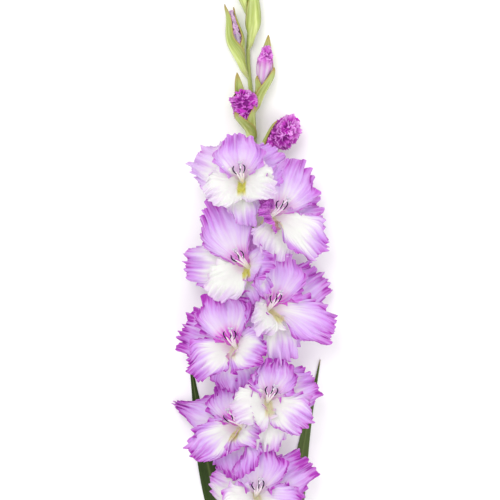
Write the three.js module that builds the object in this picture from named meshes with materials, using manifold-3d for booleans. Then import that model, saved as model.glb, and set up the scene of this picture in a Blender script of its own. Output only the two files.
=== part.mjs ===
// A cut gladiolus flower spike, lying on its back on a table.
//
// Units are millimetres. +Y runs up the spike to its tip, +X is to the right for someone who looks down
// on the flowers, and +Z points up from the table. The origin is the flat spot under the stem on which
// the spike rests, near its centre of weight.

import * as THREE from "three";
import { mergeVertices } from "three/addons/utils/BufferGeometryUtils.js";
import Module from "manifold-3d";

const wasm = await Module();
wasm.setup();

// Driving dimensions

const STEM_FOOT_RADIUS = 6.0;
const STEM_TIP_RADIUS = 1.6;

const GAP = 0.35; // air between two pieces that touch
const CUT_GAP = 0.6; // air round a petal where it passes another floret's
const BLADE = 0.75; // thickness of a petal
const GREEN_BLADE = 0.9; // thickness of a bract or a leaf
const BRACT_PLAY = 0.58; // extra room between a bract and what it wraps
const BRACT_FOOT = 0.5; // a bract's distance from its route inside the stem
const OUTER_OVER_INNER = 1.3; // how far a bud's outer bract lies over its inner one

const THROAT_RADIUS = 10; // middle of the trumpet's wall, at its rim
const THROAT_WALL = 2.0;
const THROAT_DEPTH = 24;
const THROAT_FLOOR = 4; // thickness of the solid bottom of the throat
const THROAT_SLOPE = THREE.MathUtils.degToRad(19);
const TUBE_RADIUS = 3.2;
const TUBE_DROP = 46; // how far below its throat a floret leaves the stem

const FILAMENT_RADIUS = 0.65;
const ANTHER_RADIUS = 1.25;
const STIGMA_RADIUS = 1.0;

const PETAL_ROOT_DEPTH = 3; // how far a petal's root lies inside the throat's wall
const PETAL_ROOT_HALF = 6; // half a petal's width at its root
const PETAL_ROOT_CURL = 1 / 9.3; // a petal's root is rolled to fit the throat
const FRONT_CURL = 0.012; // how much the front and the back petals stay rolled further out
const BACK_CURL = 0.004;
const LAYER_AT_ROOT = 0.5; // how far each layer of petals is from their common surface
const LAYER_AT_THROAT = 2.5;
const LAYER_AT_MARGIN = 1.3; // and how much further at the margin
const USUAL_REACH = 48; // the reach of a petal with the width that PETALS gives

const FRILL_WAVES = 7; // waves of the frill, counted right round a petal
const FRILL_HEIGHT = 2.6;
const PETAL_PHASE = 2.4; // how much the frill is turned from one petal to the next
const FLORET_PHASE = 1.7; // and from one floret to the next
const PETAL_GRID = 4; // rows and columns of facets on a petal

const UP = new THREE.Vector3(0, 0, 1);

// Where the stem runs: across, along the spike, and how far its underside is over the table. It zigzags a
// little between the florets, is pressed flat on the resting spot, and rises over the leaves' sheaths.
const STEM_ROUTE = [
  [-3, -452, 6.0],
  [-1, -350, 3.0],
  [0, -250, 1.8],
  [0, -150, 0.4],
  [0, -50, -0.5],
  [0, 50, -0.5],
  [2, 140, 0.2],
  [4, 215, 1.0],
  [-2, 290, 3.0],
  [1, 350, 4.2],
  [-1, 417, 5.4],
];

// The open florets from the top one down. at: middle of the throat's rim. yaw: degrees that the floret
// looks to the right, pitch: degrees that it looks up the spike, roll: degrees that it is turned about
// its own axis. reach: how far each petal's tip is from the floret's axis, and broad: how broad it is
// for its reach, both in the order of PETALS.
const FLORETS = [
  {
    at: [-9, 157, 44], yaw: -5, pitch: 14, roll: 5,
    reach: [44, 41, 42, 50, 58, 50], broad: [1.15, 1.15, 1.2, 0.95, 0.95, 0.7],
  },
  {
    at: [27, 120, 41], yaw: 30, pitch: 15, roll: -20,
    reach: [56, 60, 30, 52, 40, 52], broad: [1.1, 1.1, 1, 1, 1, 0.9],
  },
  {
    at: [-5, 67, 44], yaw: -20, pitch: 16, roll: 27,
    reach: [70, 38, 48, 42, 65, 44], broad: [1.05, 1.2, 1.05, 1, 0.9, 0.9],
  },
  {
    at: [24, 22, 42], yaw: 24, pitch: 16, roll: 2,
    reach: [54, 66, 40, 68, 38, 60], broad: [1.1, 1, 1.1, 1.05, 1, 0.9],
  },
  {
    at: [-18, -17, 44], yaw: -16, pitch: 17, roll: 12,
    reach: [54, 46, 54, 48, 58, 52], broad: [1.1, 1.2, 1.1, 1, 1, 1.05],
  },
  {
    at: [20, -75, 43], yaw: 8, pitch: 14, roll: -8,
    reach: [42, 53, 46, 60, 42, 55], broad: [1.1, 1.1, 1.15, 0.95, 1, 0.85],
  },
  {
    at: [-13, -102, 38], yaw: -28, pitch: 16, roll: 13,
    reach: [44, 40, 54, 38, 78, 57], broad: [1.1, 1.1, 1, 1, 0.75, 1.1],
  },
  {
    at: [8, -174, 41], yaw: 8, pitch: 16, roll: 2,
    reach: [50, 50, 50, 66, 54, 52], broad: [1.1, 1.05, 1.1, 0.85, 1, 1],
  },
];

// The six petals. angle: degrees round the floret's axis, 90 being up the spike. front: whether it is in
// the layer nearer the viewer. rise: height of its tip over the throat's rim. lean: degrees between its
// tip and the floret's axis. half: half its greatest width.
const PETALS = [
  { angle: 90, front: true, rise: 28, lean: 66, half: 26 },
  { angle: 326, front: true, rise: 17, lean: 92, half: 22 },
  { angle: 214, front: true, rise: 17, lean: 92, half: 22 },
  { angle: 28, front: false, rise: 14, lean: 88, half: 27 },
  { angle: 152, front: false, rise: 14, lean: 88, half: 27 },
  { angle: 270, front: false, rise: 9, lean: 98, half: 25 },
];

// The buds from the lowest up. foot: height at which it leaves the stem, route: points of its middle up to
// its tip, start and end: the stretch of the route that its petals fill, widest: where along it they are
// thickest, close: how far they draw together at the tip, crumple: depth of their folds.
const BUDS = [
  {
    name: "bud_1_petals", foot: 176, route: [[14, 189, 14], [29, 202, 21], [49, 217, 25]],
    radius: 12.5, widest: 0.78, close: 0.35, crumple: 0.14, start: 0.14, end: 1,
    bracts: [
      { out: [0.5, 0.3, -0.8], half: 10, length: 0.86 },
      { out: [-0.6, 0.9, 0.4], half: 8, length: 0.8 },
    ],
  },
  {
    name: "bud_2_petals", foot: 196, route: [[1, 212, 14], [-5, 230, 20], [-10, 273, 21]],
    radius: 12, widest: 0.85, close: 0.6, crumple: 0.14, start: 0.16, end: 0.74,
    bracts: [
      { out: [-0.75, 0, 0.7], half: 12, length: 0.52 },
      { out: [0.8, 0, 0.6], half: 12, length: 0.54 },
      { out: [-0.5, 0, -0.9], half: 9, length: 1 },
    ],
  },
  {
    name: "bud_3_petals", foot: 226, route: [[8, 244, 11], [14, 266, 15], [18, 313, 16]],
    radius: 8.5, widest: 0.65, close: 0.6, crumple: 0.08, start: 0.18, end: 0.86,
    bracts: [
      { out: [0.85, 0, 0.55], half: 10, length: 0.62 },
      { out: [-0.75, 0, 0.65], half: 9, length: 0.5 },
      { out: [0.3, 0, -1], half: 9, length: 1 },
    ],
  },
  {
    name: "bud_4_petals", foot: 264, route: [[-8, 280, 10], [-15, 308, 13], [-22, 346, 13]],
    radius: 7, widest: 0.5, close: 0.7, crumple: 0.08, start: 0.2, end: 0.9,
    bracts: [
      { out: [-0.8, 0, 0.34], half: 11, length: 1 },
      { out: [0.9, 0, -0.4], half: 11, length: 0.95 },
    ],
  },
  {
    green: true, foot: 296, route: [[2, 312, 11], [3, 334, 13], [4, 364, 12]],
    radius: 6, widest: 0.4, close: 0.75, crumple: 0, start: 0.15, end: 1,
    bracts: [{ out: [0.3, 0, 1], half: 12, length: 1 }, { out: [-0.3, 0, -1], half: 8, length: 0.9 }],
  },
  {
    green: true, foot: 330, route: [[-5, 345, 11], [-9, 366, 12], [-8, 398, 11]],
    radius: 4.6, widest: 0.4, close: 0.75, crumple: 0, start: 0.15, end: 1,
    bracts: [{ out: [-0.3, 0, 1], half: 10, length: 1 }, { out: [0.3, 0, -1], half: 7, length: 0.9 }],
  },
  {
    green: true, foot: 368, route: [[2, 382, 10], [3, 400, 10], [0, 432, 9]],
    radius: 3.6, widest: 0.4, close: 0.8, crumple: 0, start: 0.15, end: 1,
    bracts: [{ out: [0.3, 0, 1], half: 8, length: 1 }, { out: [-0.3, 0, -1], half: 6, length: 0.9 }],
  },
];

// The sword leaves, from the sheath round the stem to the tip.
const SHEATH_CURL = 0.15;
const LEAF_CURL = 0.008;
const LEAF_TIP_HALF = 0.6;
const LEFT_LEAF = {
  route: [
    [0, -320, 1.9], [-3, -290, 1.5], [-24, -225, 0.9],
    [-46, -140, 0.4], [-57, -80, 0.3], [-65, -26, 1.2],
  ],
  half: 12,
};
const RIGHT_LEAF = {
  route: [
    [-2, -415, 4.2], [0, -380, 3.2], [20, -300, 1.5],
    [44, -205, 0.8], [59, -115, 0.3], [75, -33, 1.2],
  ],
  half: 11,
};

// Solids and meshes

function solidOf(geometry) {
  const bare = geometry.clone();
  bare.deleteAttribute("normal");
  bare.deleteAttribute("uv");
  const merged = mergeVertices(bare);
  const triangles = Uint32Array.from(merged.index.array);
  const mesh = (order) =>
    new wasm.Mesh({ numProp: 3, vertProperties: merged.attributes.position.array, triVerts: order });
  const solid = new wasm.Manifold(mesh(triangles));
  if (solid.volume() > 0) return solid;
  return new wasm.Manifold(mesh(triangles.reverse()));
}

function geometryOf(solid) {
  const mesh = solid.getMesh();
  const geometry = new THREE.BufferGeometry();
  geometry.setAttribute("position", new THREE.BufferAttribute(mesh.vertProperties, 3));
  geometry.setIndex(new THREE.BufferAttribute(mesh.triVerts, 1));
  geometry.computeVertexNormals();
  return geometry;
}

function joined(solids) {
  return solids.reduce((whole, solid) => whole.add(solid));
}

// The largest body of a solid: what a cut leaves loose is dropped.
function mainBody(solid) {
  return solid.decompose().sort((a, b) => b.volume() - a.volume())[0];
}

function meshOf(name, solid, material) {
  const mesh = new THREE.Mesh(geometryOf(solid), material);
  mesh.name = name;
  return mesh;
}

// Curves and small formulas

function curveThrough(points) {
  const corners = points.map((point) => new THREE.Vector3(...point));
  return new THREE.CatmullRomCurve3(corners, false, "centripetal");
}

// The stretch of a curve between two shares of its length.
function stretch(curve, from, to) {
  const points = [0, 1, 2, 3, 4, 5, 6].map((i) => curve.getPointAt(mix(from, to, i / 6)));
  return new THREE.CatmullRomCurve3(points, false, "centripetal");
}

function smooth(low, high, value) {
  return THREE.MathUtils.smoothstep(value, low, high);
}

function mix(start, end, share) {
  return start + (end - start) * share;
}

// A closed sheet. surface(s, t) gives the middle of the sheet, s from 0 to 1 and t from -1 to 1. Both
// faces have the same triangles, so a waved sheet never crosses itself. grow makes it larger all round.
function sheet(surface, rows, columns, thickness, grow = 0) {
  const grid = new THREE.PlaneGeometry(2, 1, columns, rows);
  const flat = grid.attributes.position;
  const step = 1e-3;
  const points = [];
  for (const side of [1, -1]) {
    for (let i = 0; i < flat.count; i += 1) {
      const s = THREE.MathUtils.clamp(flat.getY(i) + 0.5, 0, 1);
      const t = THREE.MathUtils.clamp(flat.getX(i), -1, 1);
      const along = surface(Math.min(s + step, 1), t).sub(surface(Math.max(s - step, 0), t)).normalize();
      const across = surface(s, Math.min(t + step, 1)).sub(surface(s, Math.max(t - step, -1))).normalize();
      const normal = new THREE.Vector3().crossVectors(across, along).normalize();
      const point = surface(s, t).addScaledVector(normal, side * (thickness / 2 + grow));
      if (s === 0 || s === 1) point.addScaledVector(along, s === 0 ? -grow : grow);
      if (Math.abs(t) === 1) point.addScaledVector(across, t * grow);
      points.push(...point);
    }
  }
  const top = [...grid.index.array];
  const under = top.map((corner) => corner + flat.count);
  const faces = [...top, ...under.reverse()];
  const rim = rimOf(rows, columns);
  rim.forEach((corner, i) => {
    const next = rim[(i + 1) % rim.length];
    faces.push(corner, next, corner + flat.count, next, next + flat.count, corner + flat.count);
  });
  const geometry = new THREE.BufferGeometry();
  geometry.setAttribute("position", new THREE.Float32BufferAttribute(points, 3));
  geometry.setIndex(faces);
  return solidOf(geometry);
}

// The corners round a grid's edge, in order.
function rimOf(rows, columns) {
  const wide = columns + 1;
  const rim = [];
  for (let i = 0; i < columns; i += 1) rim.push(i);
  for (let i = 0; i < rows; i += 1) rim.push(i * wide + columns);
  for (let i = columns; i > 0; i -= 1) rim.push(rows * wide + i);
  for (let i = rows; i > 0; i -= 1) rim.push(i * wide);
  return rim;
}

// A solid rod along a curve, with a radius that may change along it and round it. grow makes it larger
// all round.
function rod(curve, radiusAt, sides, steps, grow = 0) {
  const geometry = new THREE.CylinderGeometry(1, 1, 1, sides, steps);
  const frames = curve.computeFrenetFrames(steps, false);
  const place = geometry.attributes.position;
  for (let i = 0; i < place.count; i += 1) {
    const share = THREE.MathUtils.clamp(place.getY(i) + 0.5, 0, 1);
    const ring = Math.round(share * steps);
    const turn = Math.atan2(place.getX(i), place.getZ(i));
    const radius = Math.hypot(place.getX(i), place.getZ(i)) * (radiusAt(share, turn) + grow);
    const point = curve.getPointAt(share);
    const atEnd = share === 0 || share === 1;
    if (atEnd) point.addScaledVector(frames.tangents[ring], share === 0 ? -grow : grow);
    point.addScaledVector(frames.normals[ring], radius * Math.cos(turn));
    point.addScaledVector(frames.binormals[ring], radius * Math.sin(turn));
    place.setXYZ(i, ...point);
  }
  return solidOf(geometry);
}

// A blade along a curve, such as a leaf or a bract. front is the way its face looks, half(s) its half
// width, curl(s) how tightly it is rolled (1 / radius), towards its front where positive.
function bladeAlong(curve, front, half, curl, rows, columns) {
  const surface = (s, t) => {
    const along = curve.getTangentAt(s);
    const across = new THREE.Vector3().crossVectors(along, front).normalize();
    const normal = new THREE.Vector3().crossVectors(across, along);
    const [side, lift] = rolled(t * half(s), curl(s));
    return curve.getPointAt(s).addScaledVector(across, side).addScaledVector(normal, lift);
  };
  return sheet(surface, rows, columns, GREEN_BLADE);
}

// Where a point of a flat strip goes when the strip is rolled up: sideways and forward.
function rolled(distance, curl) {
  if (Math.abs(curl) < 1e-6) return [distance, 0];
  return [Math.sin(distance * curl) / curl, (1 - Math.cos(distance * curl)) / curl];
}

// Florets

// The route of a petal's middle from the throat to its tip: distance from the axis, height over the rim.
function petalProfile(petal, reach) {
  const lean = THREE.MathUtils.degToRad(petal.lean);
  const rootRadius = THROAT_RADIUS - PETAL_ROOT_DEPTH * Math.tan(THROAT_SLOPE);
  const root = new THREE.Vector2(rootRadius, -PETAL_ROOT_DEPTH);
  const tip = new THREE.Vector2(reach, petal.rise);
  const span = root.distanceTo(tip);
  const rootWay = new THREE.Vector2(Math.sin(THROAT_SLOPE), Math.cos(THROAT_SLOPE));
  const tipWay = new THREE.Vector2(Math.sin(lean), Math.cos(lean));
  const leave = root.clone().addScaledVector(rootWay, span * 0.36);
  const arrive = tip.clone().addScaledVector(tipWay, -span * 0.4);
  return new THREE.CubicBezierCurve(root, leave, arrive, tip);
}

// A petal's middle surface in its floret's own frame: z along the floret's axis, y up the spike.
function petalSurface(petal, reach, broad, phase) {
  const profile = petalProfile(petal, reach);
  const angle = THREE.MathUtils.degToRad(petal.angle);
  const outward = new THREE.Vector3(Math.cos(angle), Math.sin(angle), 0);
  const across = new THREE.Vector3(-Math.sin(angle), Math.cos(angle), 0);
  const half = petal.half * broad * THREE.MathUtils.clamp(reach / USUAL_REACH, 0.7, 1.1);
  const layer = petal.front ? 1 : -1;
  return (s, t) => {
    const along = s * (1 - 0.13 * Math.abs(t) ** 2.4 * smooth(0.2, 1, s));
    const centre = profile.getPoint(along);
    const tangent = profile.getTangent(along);
    const swell = Math.sin((Math.PI / 2) * Math.min(1, s / 0.66));
    const wide = mix(PETAL_ROOT_HALF, half, swell) * (1 - 0.32 * smooth(0.6, 1, s));
    const curl = mix(PETAL_ROOT_CURL, petal.front ? FRONT_CURL : BACK_CURL, smooth(0.05, 0.5, s));
    const [side, cup] = rolled(t * wide, curl);
    const margin = Math.max(Math.abs(t) ** 2 * smooth(0.15, 0.6, s), smooth(0.55, 1, s));
    const round = Math.atan2(t * 1.1, s - 0.42);
    const frill = FRILL_HEIGHT * margin * Math.sin(FRILL_WAVES * round + phase);
    const apart = mix(LAYER_AT_ROOT, LAYER_AT_THROAT, smooth(0, 0.25, s)) + LAYER_AT_MARGIN * margin;
    const lift = cup + frill + layer * apart;
    return new THREE.Vector3()
      .addScaledVector(outward, centre.x - tangent.y * lift)
      .addScaledVector(across, side)
      .addScaledVector(UP, centre.y + tangent.x * lift);
  };
}

// The trumpet-shaped throat: open at the rim, closed at the bottom.
function throat(grow) {
  const outer = THROAT_RADIUS + THROAT_WALL / 2 + grow;
  const inner = THROAT_RADIUS - THROAT_WALL / 2;
  const slope = Math.tan(THROAT_SLOPE);
  const floor = THROAT_DEPTH - THROAT_FLOOR;
  const outline = [
    [0, -THROAT_DEPTH],
    [outer - THROAT_DEPTH * slope + 0.8, -THROAT_DEPTH],
    [outer, 0],
    [inner, 0],
    [inner - floor * slope, -floor],
    [0, -floor],
  ];
  const lathe = new THREE.LatheGeometry(outline.map((point) => new THREE.Vector2(...point)), 7);
  return solidOf(lathe.rotateX(Math.PI / 2));
}

// Turns and moves a solid from its floret's own frame to its place on the spike.
function placement(floret) {
  const turn = new THREE.Matrix4().makeRotationY(THREE.MathUtils.degToRad(floret.yaw));
  turn.multiply(new THREE.Matrix4().makeRotationX(-THREE.MathUtils.degToRad(floret.pitch)));
  turn.multiply(new THREE.Matrix4().makeRotationZ(THREE.MathUtils.degToRad(floret.roll)));
  return turn.setPosition(...floret.at);
}

function placed(solid, floret) {
  return solid.transform(placement(floret).toArray());
}

function stemCurve() {
  const length = STEM_ROUTE.at(-1)[1] - STEM_ROUTE[0][1];
  return curveThrough(STEM_ROUTE.map(([x, y, under]) => {
    const share = (y - STEM_ROUTE[0][1]) / length;
    return [x, y, under + stemRadius(share)];
  }));
}

// The point on the stem's middle at a height along the spike.
function stemAt(y) {
  const curve = stemCurve();
  let low = 0;
  let high = 1;
  while (high - low > 1e-4) {
    const middle = (low + high) / 2;
    if (curve.getPoint(middle).y < y) low = middle;
    else high = middle;
  }
  return { point: curve.getPoint(low), radius: stemRadius(low) };
}

function stemRadius(share) {
  return mix(STEM_FOOT_RADIUS, STEM_TIP_RADIUS, smooth(0.1, 1.05, share));
}

// The route of a floret's tube, from beside the stem to the bottom of its throat.
function tubeCurve(floret) {
  const side = sideOf(floret);
  const foot = stemAt(floret.at[1] - TUBE_DROP);
  const clear = foot.radius + TUBE_RADIUS + GAP;
  const axis = UP.clone().transformDirection(placement(floret));
  const rim = new THREE.Vector3(...floret.at);
  const start = foot.point.clone().add(new THREE.Vector3(side * clear * 0.72, 0, clear * 0.72));
  const lower = start.clone().add(new THREE.Vector3(side * 1.5, 18, 2));
  const upper = rim.clone().addScaledVector(axis, -(THROAT_DEPTH + 8));
  const end = rim.clone().addScaledVector(axis, -(THROAT_DEPTH - 2));
  return new THREE.CubicBezierCurve3(start, lower, upper, end);
}

// 1 for a floret of the right-hand rank, -1 for one of the left-hand rank.
function sideOf(floret) {
  return floret.at[0] > stemAt(floret.at[1]).point.x ? 1 : -1;
}

// How far the frill of one petal of one floret is turned.
function phaseOf(petal, floret) {
  return PETAL_PHASE * petal + FLORET_PHASE * floret;
}

// A floret, or with grow above 0 the same floret made thicker all over, to cut its clearance in another.
function floretSolid(floret, number, grow) {
  const petals = PETALS.map((petal, i) => {
    const surface = petalSurface(petal, floret.reach[i], floret.broad[i], phaseOf(i, number));
    return sheet(surface, PETAL_GRID, PETAL_GRID, BLADE, grow);
  });
  return placed(joined([throat(grow), ...petals]), floret).add(tubeSolid(floret, grow));
}

function tubeSolid(floret, grow) {
  return rod(tubeCurve(floret), () => TUBE_RADIUS, 5, 3, grow);
}

// All florets, from the top one down. A lower one is cut back where it would cross one above it.
function floretSolids() {
  const whole = FLORETS.map((floret, i) => floretSolid(floret, i, 0));
  const room = FLORETS.map((floret, i) => floretSolid(floret, i, CUT_GAP).add(whole[i]));
  return whole.map((solid, i) => {
    const above = room.slice(Math.max(0, i - 3), i);
    return mainBody(above.reduce((rest, other) => rest.subtract(other), solid));
  });
}

// Three stamens and the style, which stand on one small base at the bottom of the throat.
function stamensSolid(floret) {
  const foot = THROAT_FLOOR - THROAT_DEPTH + 2 * GAP;
  const base = rod(curveThrough([[0, 0, foot], [0, 1.2, foot + 5]]), (share) => mix(1.4, 1.8, share), 5, 1);
  const thick = (share) => smooth(0.55, 0.7, share) - smooth(0.9, 1.1, share);
  const stamens = [-1, 0, 1].map((spread) => {
    const droop = Math.abs(spread);
    const stalk = [[spread * 0.6, 1.6, -15], [spread * 2.2, 4.2, -3], [spread * 4, 7.5 - droop, 10]];
    const anther = [[spread * 6 + 0.3, 11.7 - droop, 15], [spread * 6.4 - 0.6, 15.1 - droop, 19.2]];
    const route = curveThrough([...stalk, ...anther]);
    return rod(route, (share) => mix(FILAMENT_RADIUS, ANTHER_RADIUS, thick(share)), 4, 3);
  });
  const style = curveThrough([[0, 1.8, -15], [0.4, 6.2, -2], [1.6, 9.4, 11], [2.6, 12, 21]]);
  const pistil = rod(style, (share) => mix(FILAMENT_RADIUS, STIGMA_RADIUS, smooth(0.75, 1, share)), 3, 3);
  return placed(joined([base, ...stamens, pistil]), floret);
}

// Bracts

// A bract: a strip wrapped round a route at a distance, starting inside the stem and ending in a point.
function bract(curve, out, wrap, half, rows, columns) {
  const surface = (s, t) => {
    const along = curve.getTangentAt(s);
    const facing = out.clone().addScaledVector(along, -out.dot(along)).normalize();
    const across = new THREE.Vector3().crossVectors(along, facing);
    const radius = wrap(s);
    const turn = (t * half(s)) / Math.max(radius, 2.5);
    const point = curve.getPointAt(s).addScaledVector(facing, radius * Math.cos(turn));
    return point.addScaledVector(across, radius * Math.sin(turn));
  };
  return sheet(surface, rows, columns, GREEN_BLADE);
}

// Half the width of a bract along its length: broad above its foot, narrowing to its point.
function lanceolate(half) {
  return (s) => Math.max(0.5, half * Math.sin(Math.PI * Math.min(1, 0.16 + 0.84 * s)) ** 0.75);
}

// The outer and the inner bract of a floret, one on each side of its tube.
function floretBracts(floret) {
  const side = sideOf(floret);
  const tube = tubeCurve(floret);
  const low = [0, 0.08, 0.16, 0.24].map((share) => tube.getPoint(share));
  const foot = stemAt(low[0].y - 8).point;
  const clear = TUBE_RADIUS + GAP + GREEN_BLADE / 2 + BRACT_PLAY;
  const wrap = (s) => mix(BRACT_FOOT, clear, smooth(0, 0.16, s));
  const outerTip = low[3].clone().add(new THREE.Vector3(side * 6, 30, -1));
  const innerTip = low[3].clone().add(new THREE.Vector3(-side * 3, 17, -2));
  const outer = new THREE.CatmullRomCurve3([foot, ...low, outerTip], false, "centripetal");
  const inner = new THREE.CatmullRomCurve3([foot, ...low, innerTip], false, "centripetal");
  return [
    bract(outer, new THREE.Vector3(side, 0, -0.3), wrap, lanceolate(6.5), 3, 2),
    bract(inner, new THREE.Vector3(-side, 0, 0.2), wrap, lanceolate(5), 3, 2),
  ];
}

// Buds

// The route of a bud, from inside the stem to its tip.
function budCurve(bud) {
  const foot = stemAt(bud.foot).point;
  return curveThrough([foot, ...bud.route]);
}

// The radius of a bud's rolled petals along its route, crumpled where it is opening.
function budRadius(bud) {
  return (s, turn) => {
    const swell = mix(1.6, bud.radius, smooth(0.05, bud.widest, s));
    const closing = 1 - bud.close * smooth(bud.widest, 1, s);
    return swell * closing * (1 + bud.crumple * smooth(0.4, 1, s) * Math.sin(5 * turn));
  };
}

// The stretch of a bud's route that its petals fill: they start clear of the stem, above the bracts' foot.
function budPetals(bud, grow) {
  return rod(stretch(budCurve(bud), bud.start, bud.end), budRadius(bud), 10, 5, grow);
}

function budBracts(bud) {
  const curve = budCurve(bud);
  const radius = budRadius(bud);
  const clear = GAP + GREEN_BLADE / 2 + BRACT_PLAY + bud.radius * bud.crumple;
  const wrap = (s) => {
    const share = THREE.MathUtils.clamp((s - bud.start) / (bud.end - bud.start), 0, 1);
    return mix(BRACT_FOOT, radius(share, 0) + clear, smooth(0, bud.start, s));
  };
  return bud.bracts.map((leaf, order) => {
    const route = stretch(curve, 0, leaf.length);
    const over = order === 0 ? OUTER_OVER_INNER : 0;
    const distance = (s) => wrap(s * leaf.length) + over * smooth(0.1, 0.4, s);
    return bract(route, new THREE.Vector3(...leaf.out), distance, lanceolate(leaf.half), 3, 2);
  });
}

// Leaves

function leafSolid(leaf) {
  const taper = (s) => mix(0.8, 1, smooth(0, 0.3, s)) * (1 - smooth(0.45, 1, s)) ** 0.8;
  const half = (s) => leaf.half * taper(s) + LEAF_TIP_HALF;
  const curl = (s) => SHEATH_CURL * (1 - smooth(0.02, 0.22, s)) + LEAF_CURL;
  const blade = bladeAlong(curveThrough(leaf.route), UP, half, curl, 12, 2);
  return mainBody(aboveTable(blade).subtract(scape(GAP)));
}

// Assembly

function material(color, roughness) {
  return new THREE.MeshStandardMaterial({ color, roughness, metalness: 0 });
}

const GREEN = material("#b0c266", 0.55);
const LILAC = material("#d9a8f0", 0.5);
const MAGENTA = material("#b03cc0", 0.55);
const WHITE = material("#f1ecf2", 0.5);
const DARK_GREEN = material("#3f5522", 0.5);
const OLIVE = material("#5c7036", 0.5);

// Everything above the table's level.
function aboveTable(solid) {
  const slab = new THREE.BoxGeometry(400, 1200, 40);
  slab.translate(0, 0, -20);
  return solid.subtract(solidOf(slab));
}

// The stem without what grows on it, or its clearance.
function scape(grow) {
  return rod(stemCurve(), stemRadius, 7, 13, grow);
}

function stemSolid() {
  const bracts = FLORETS.flatMap(floretBracts);
  const budLeaves = BUDS.flatMap(budBracts);
  const whole = joined([scape(0), ...bracts, ...budLeaves]);
  const room = [
    ...FLORETS.map((floret) => tubeSolid(floret, GAP)),
    ...BUDS.filter((bud) => !bud.green).map((bud) => budPetals(bud, GAP)),
  ];
  return mainBody(room.reduce((rest, other) => rest.subtract(other), aboveTable(whole)));
}

const spike = new THREE.Group();
spike.add(meshOf("stem_with_bracts", stemSolid(), GREEN));
floretSolids().forEach((solid, i) => {
  spike.add(meshOf(`floret_${i + 1}_petals`, solid, LILAC));
  spike.add(meshOf(`floret_${i + 1}_stamens`, stamensSolid(FLORETS[i]), WHITE));
});
BUDS.filter((bud) => !bud.green).forEach((bud) => {
  spike.add(meshOf(bud.name, budPetals(bud, 0), MAGENTA));
});
spike.add(meshOf("leaf_left", leafSolid(LEFT_LEAF), DARK_GREEN));
spike.add(meshOf("leaf_right", leafSolid(RIGHT_LEAF), OLIVE));

export default spike;
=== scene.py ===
import math

import bpy
import numpy as np
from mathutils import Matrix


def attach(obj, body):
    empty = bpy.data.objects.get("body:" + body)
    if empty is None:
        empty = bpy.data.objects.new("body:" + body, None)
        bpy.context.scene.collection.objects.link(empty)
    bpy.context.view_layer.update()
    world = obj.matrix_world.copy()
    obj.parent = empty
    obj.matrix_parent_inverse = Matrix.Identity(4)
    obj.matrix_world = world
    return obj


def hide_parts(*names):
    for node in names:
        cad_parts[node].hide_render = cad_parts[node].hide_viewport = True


bl_info = {
    "name": "Gladiolus flower spike",
    "version": (1, 0, 0),
    "blender": (4, 5, 0),
    "location": "3D View > Sidebar > Gladiolus",
    "description": "A cut gladiolus spike with open florets, buds, bracts and two sword leaves",
    "category": "Add Mesh",
}

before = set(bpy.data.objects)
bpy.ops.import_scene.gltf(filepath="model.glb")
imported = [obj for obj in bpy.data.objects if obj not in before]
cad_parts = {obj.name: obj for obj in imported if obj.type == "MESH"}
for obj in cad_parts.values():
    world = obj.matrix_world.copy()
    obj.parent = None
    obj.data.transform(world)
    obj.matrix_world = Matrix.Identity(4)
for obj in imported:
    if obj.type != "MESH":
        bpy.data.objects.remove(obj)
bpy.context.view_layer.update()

MM = 0.001  # the sizes and routes below are in millimetres

STEM_FOOT_RADIUS = 6.0
STEM_TIP_RADIUS = 1.6
STEM_TAPER = 0.1, 1.05  # where along the stem it starts to narrow, and would end
STEM_RIBS, RIB_HEIGHT = 7, 0.025
GAP = 0.35  # air between two parts that touch
BRACT_PLAY = 0.58
BRACT_FOOT = 0.5  # a bract's distance from its route where it starts inside the stem
OUTER_OVER_INNER = 1.3
TABLE_GAP = 0.5  # least height of a leaf's middle over the table

THROAT_RADIUS = 10.0  # middle of the trumpet's wall, at its rim
THROAT_DEPTH = 24.0
THROAT_FLOOR = 4.0
THROAT_SLOPE = math.radians(19)
TUBE_RADIUS = 3.2
TUBE_DROP = 46.0  # how far below its throat a floret leaves the stem
TUBE_SLANT = 0.72  # a tube leaves the stem up and outwards alike

PETAL_ROOT_DEPTH = 3.0
PETAL_ROOT_HALF = 6.0
PETAL_ROOT_CURL = 1 / 9.3
ROOT_HANDLE, TIP_HANDLE = 0.36, 0.4  # the handles of a petal's curve, as shares of its span
PETAL_WIDEST = 0.66
PETAL_NARROWING = 0.32
FRONT_CURL = 0.012
BACK_CURL = 0.004
LAYER_AT_ROOT = 0.5
LAYER_AT_THROAT = 2.5
LAYER_AT_MARGIN = 1.3
USUAL_REACH = 48.0
POINTED_REACH = 57  # a petal that reaches further has two pointed corners
TAPERED_REACH = 72  # and one beyond this draws in towards its tip
FRILL_WAVES = 7
PETAL_PHASE = 2.4
FLORET_PHASE = 1.7

PETAL_COLUMNS = 144
PETAL_ROWS = 22
FUNNEL_ROWS = 0.2  # share of a petal's rows that line the throat
FUNNEL_DEPTH = 16.0
FUNNEL_MOUTH = 6.8  # the lining's radius at the petals' root and at its bottom
FUNNEL_END = 2.2
THROAT_SHIFT = 1.3  # the throat leans this far up the spike
RIM_START = 0.16  # where along a petal's side its free rim starts
CORNER = 0.34  # rounding of a petal's corners, as a share of its length and half width

# Where the stem runs: across, along the spike, and how far its underside is over the table.
STEM_ROUTE = [
    (-3, -452, 6.0), (-1, -350, 3.0), (0, -250, 1.8), (0, -150, 0.4), (0, -50, -0.5), (0, 50, -0.5),
    (2, 140, 0.2), (4, 215, 1.0), (-2, 290, 3.0), (1, 350, 4.2), (-1, 417, 5.4),
]

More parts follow.
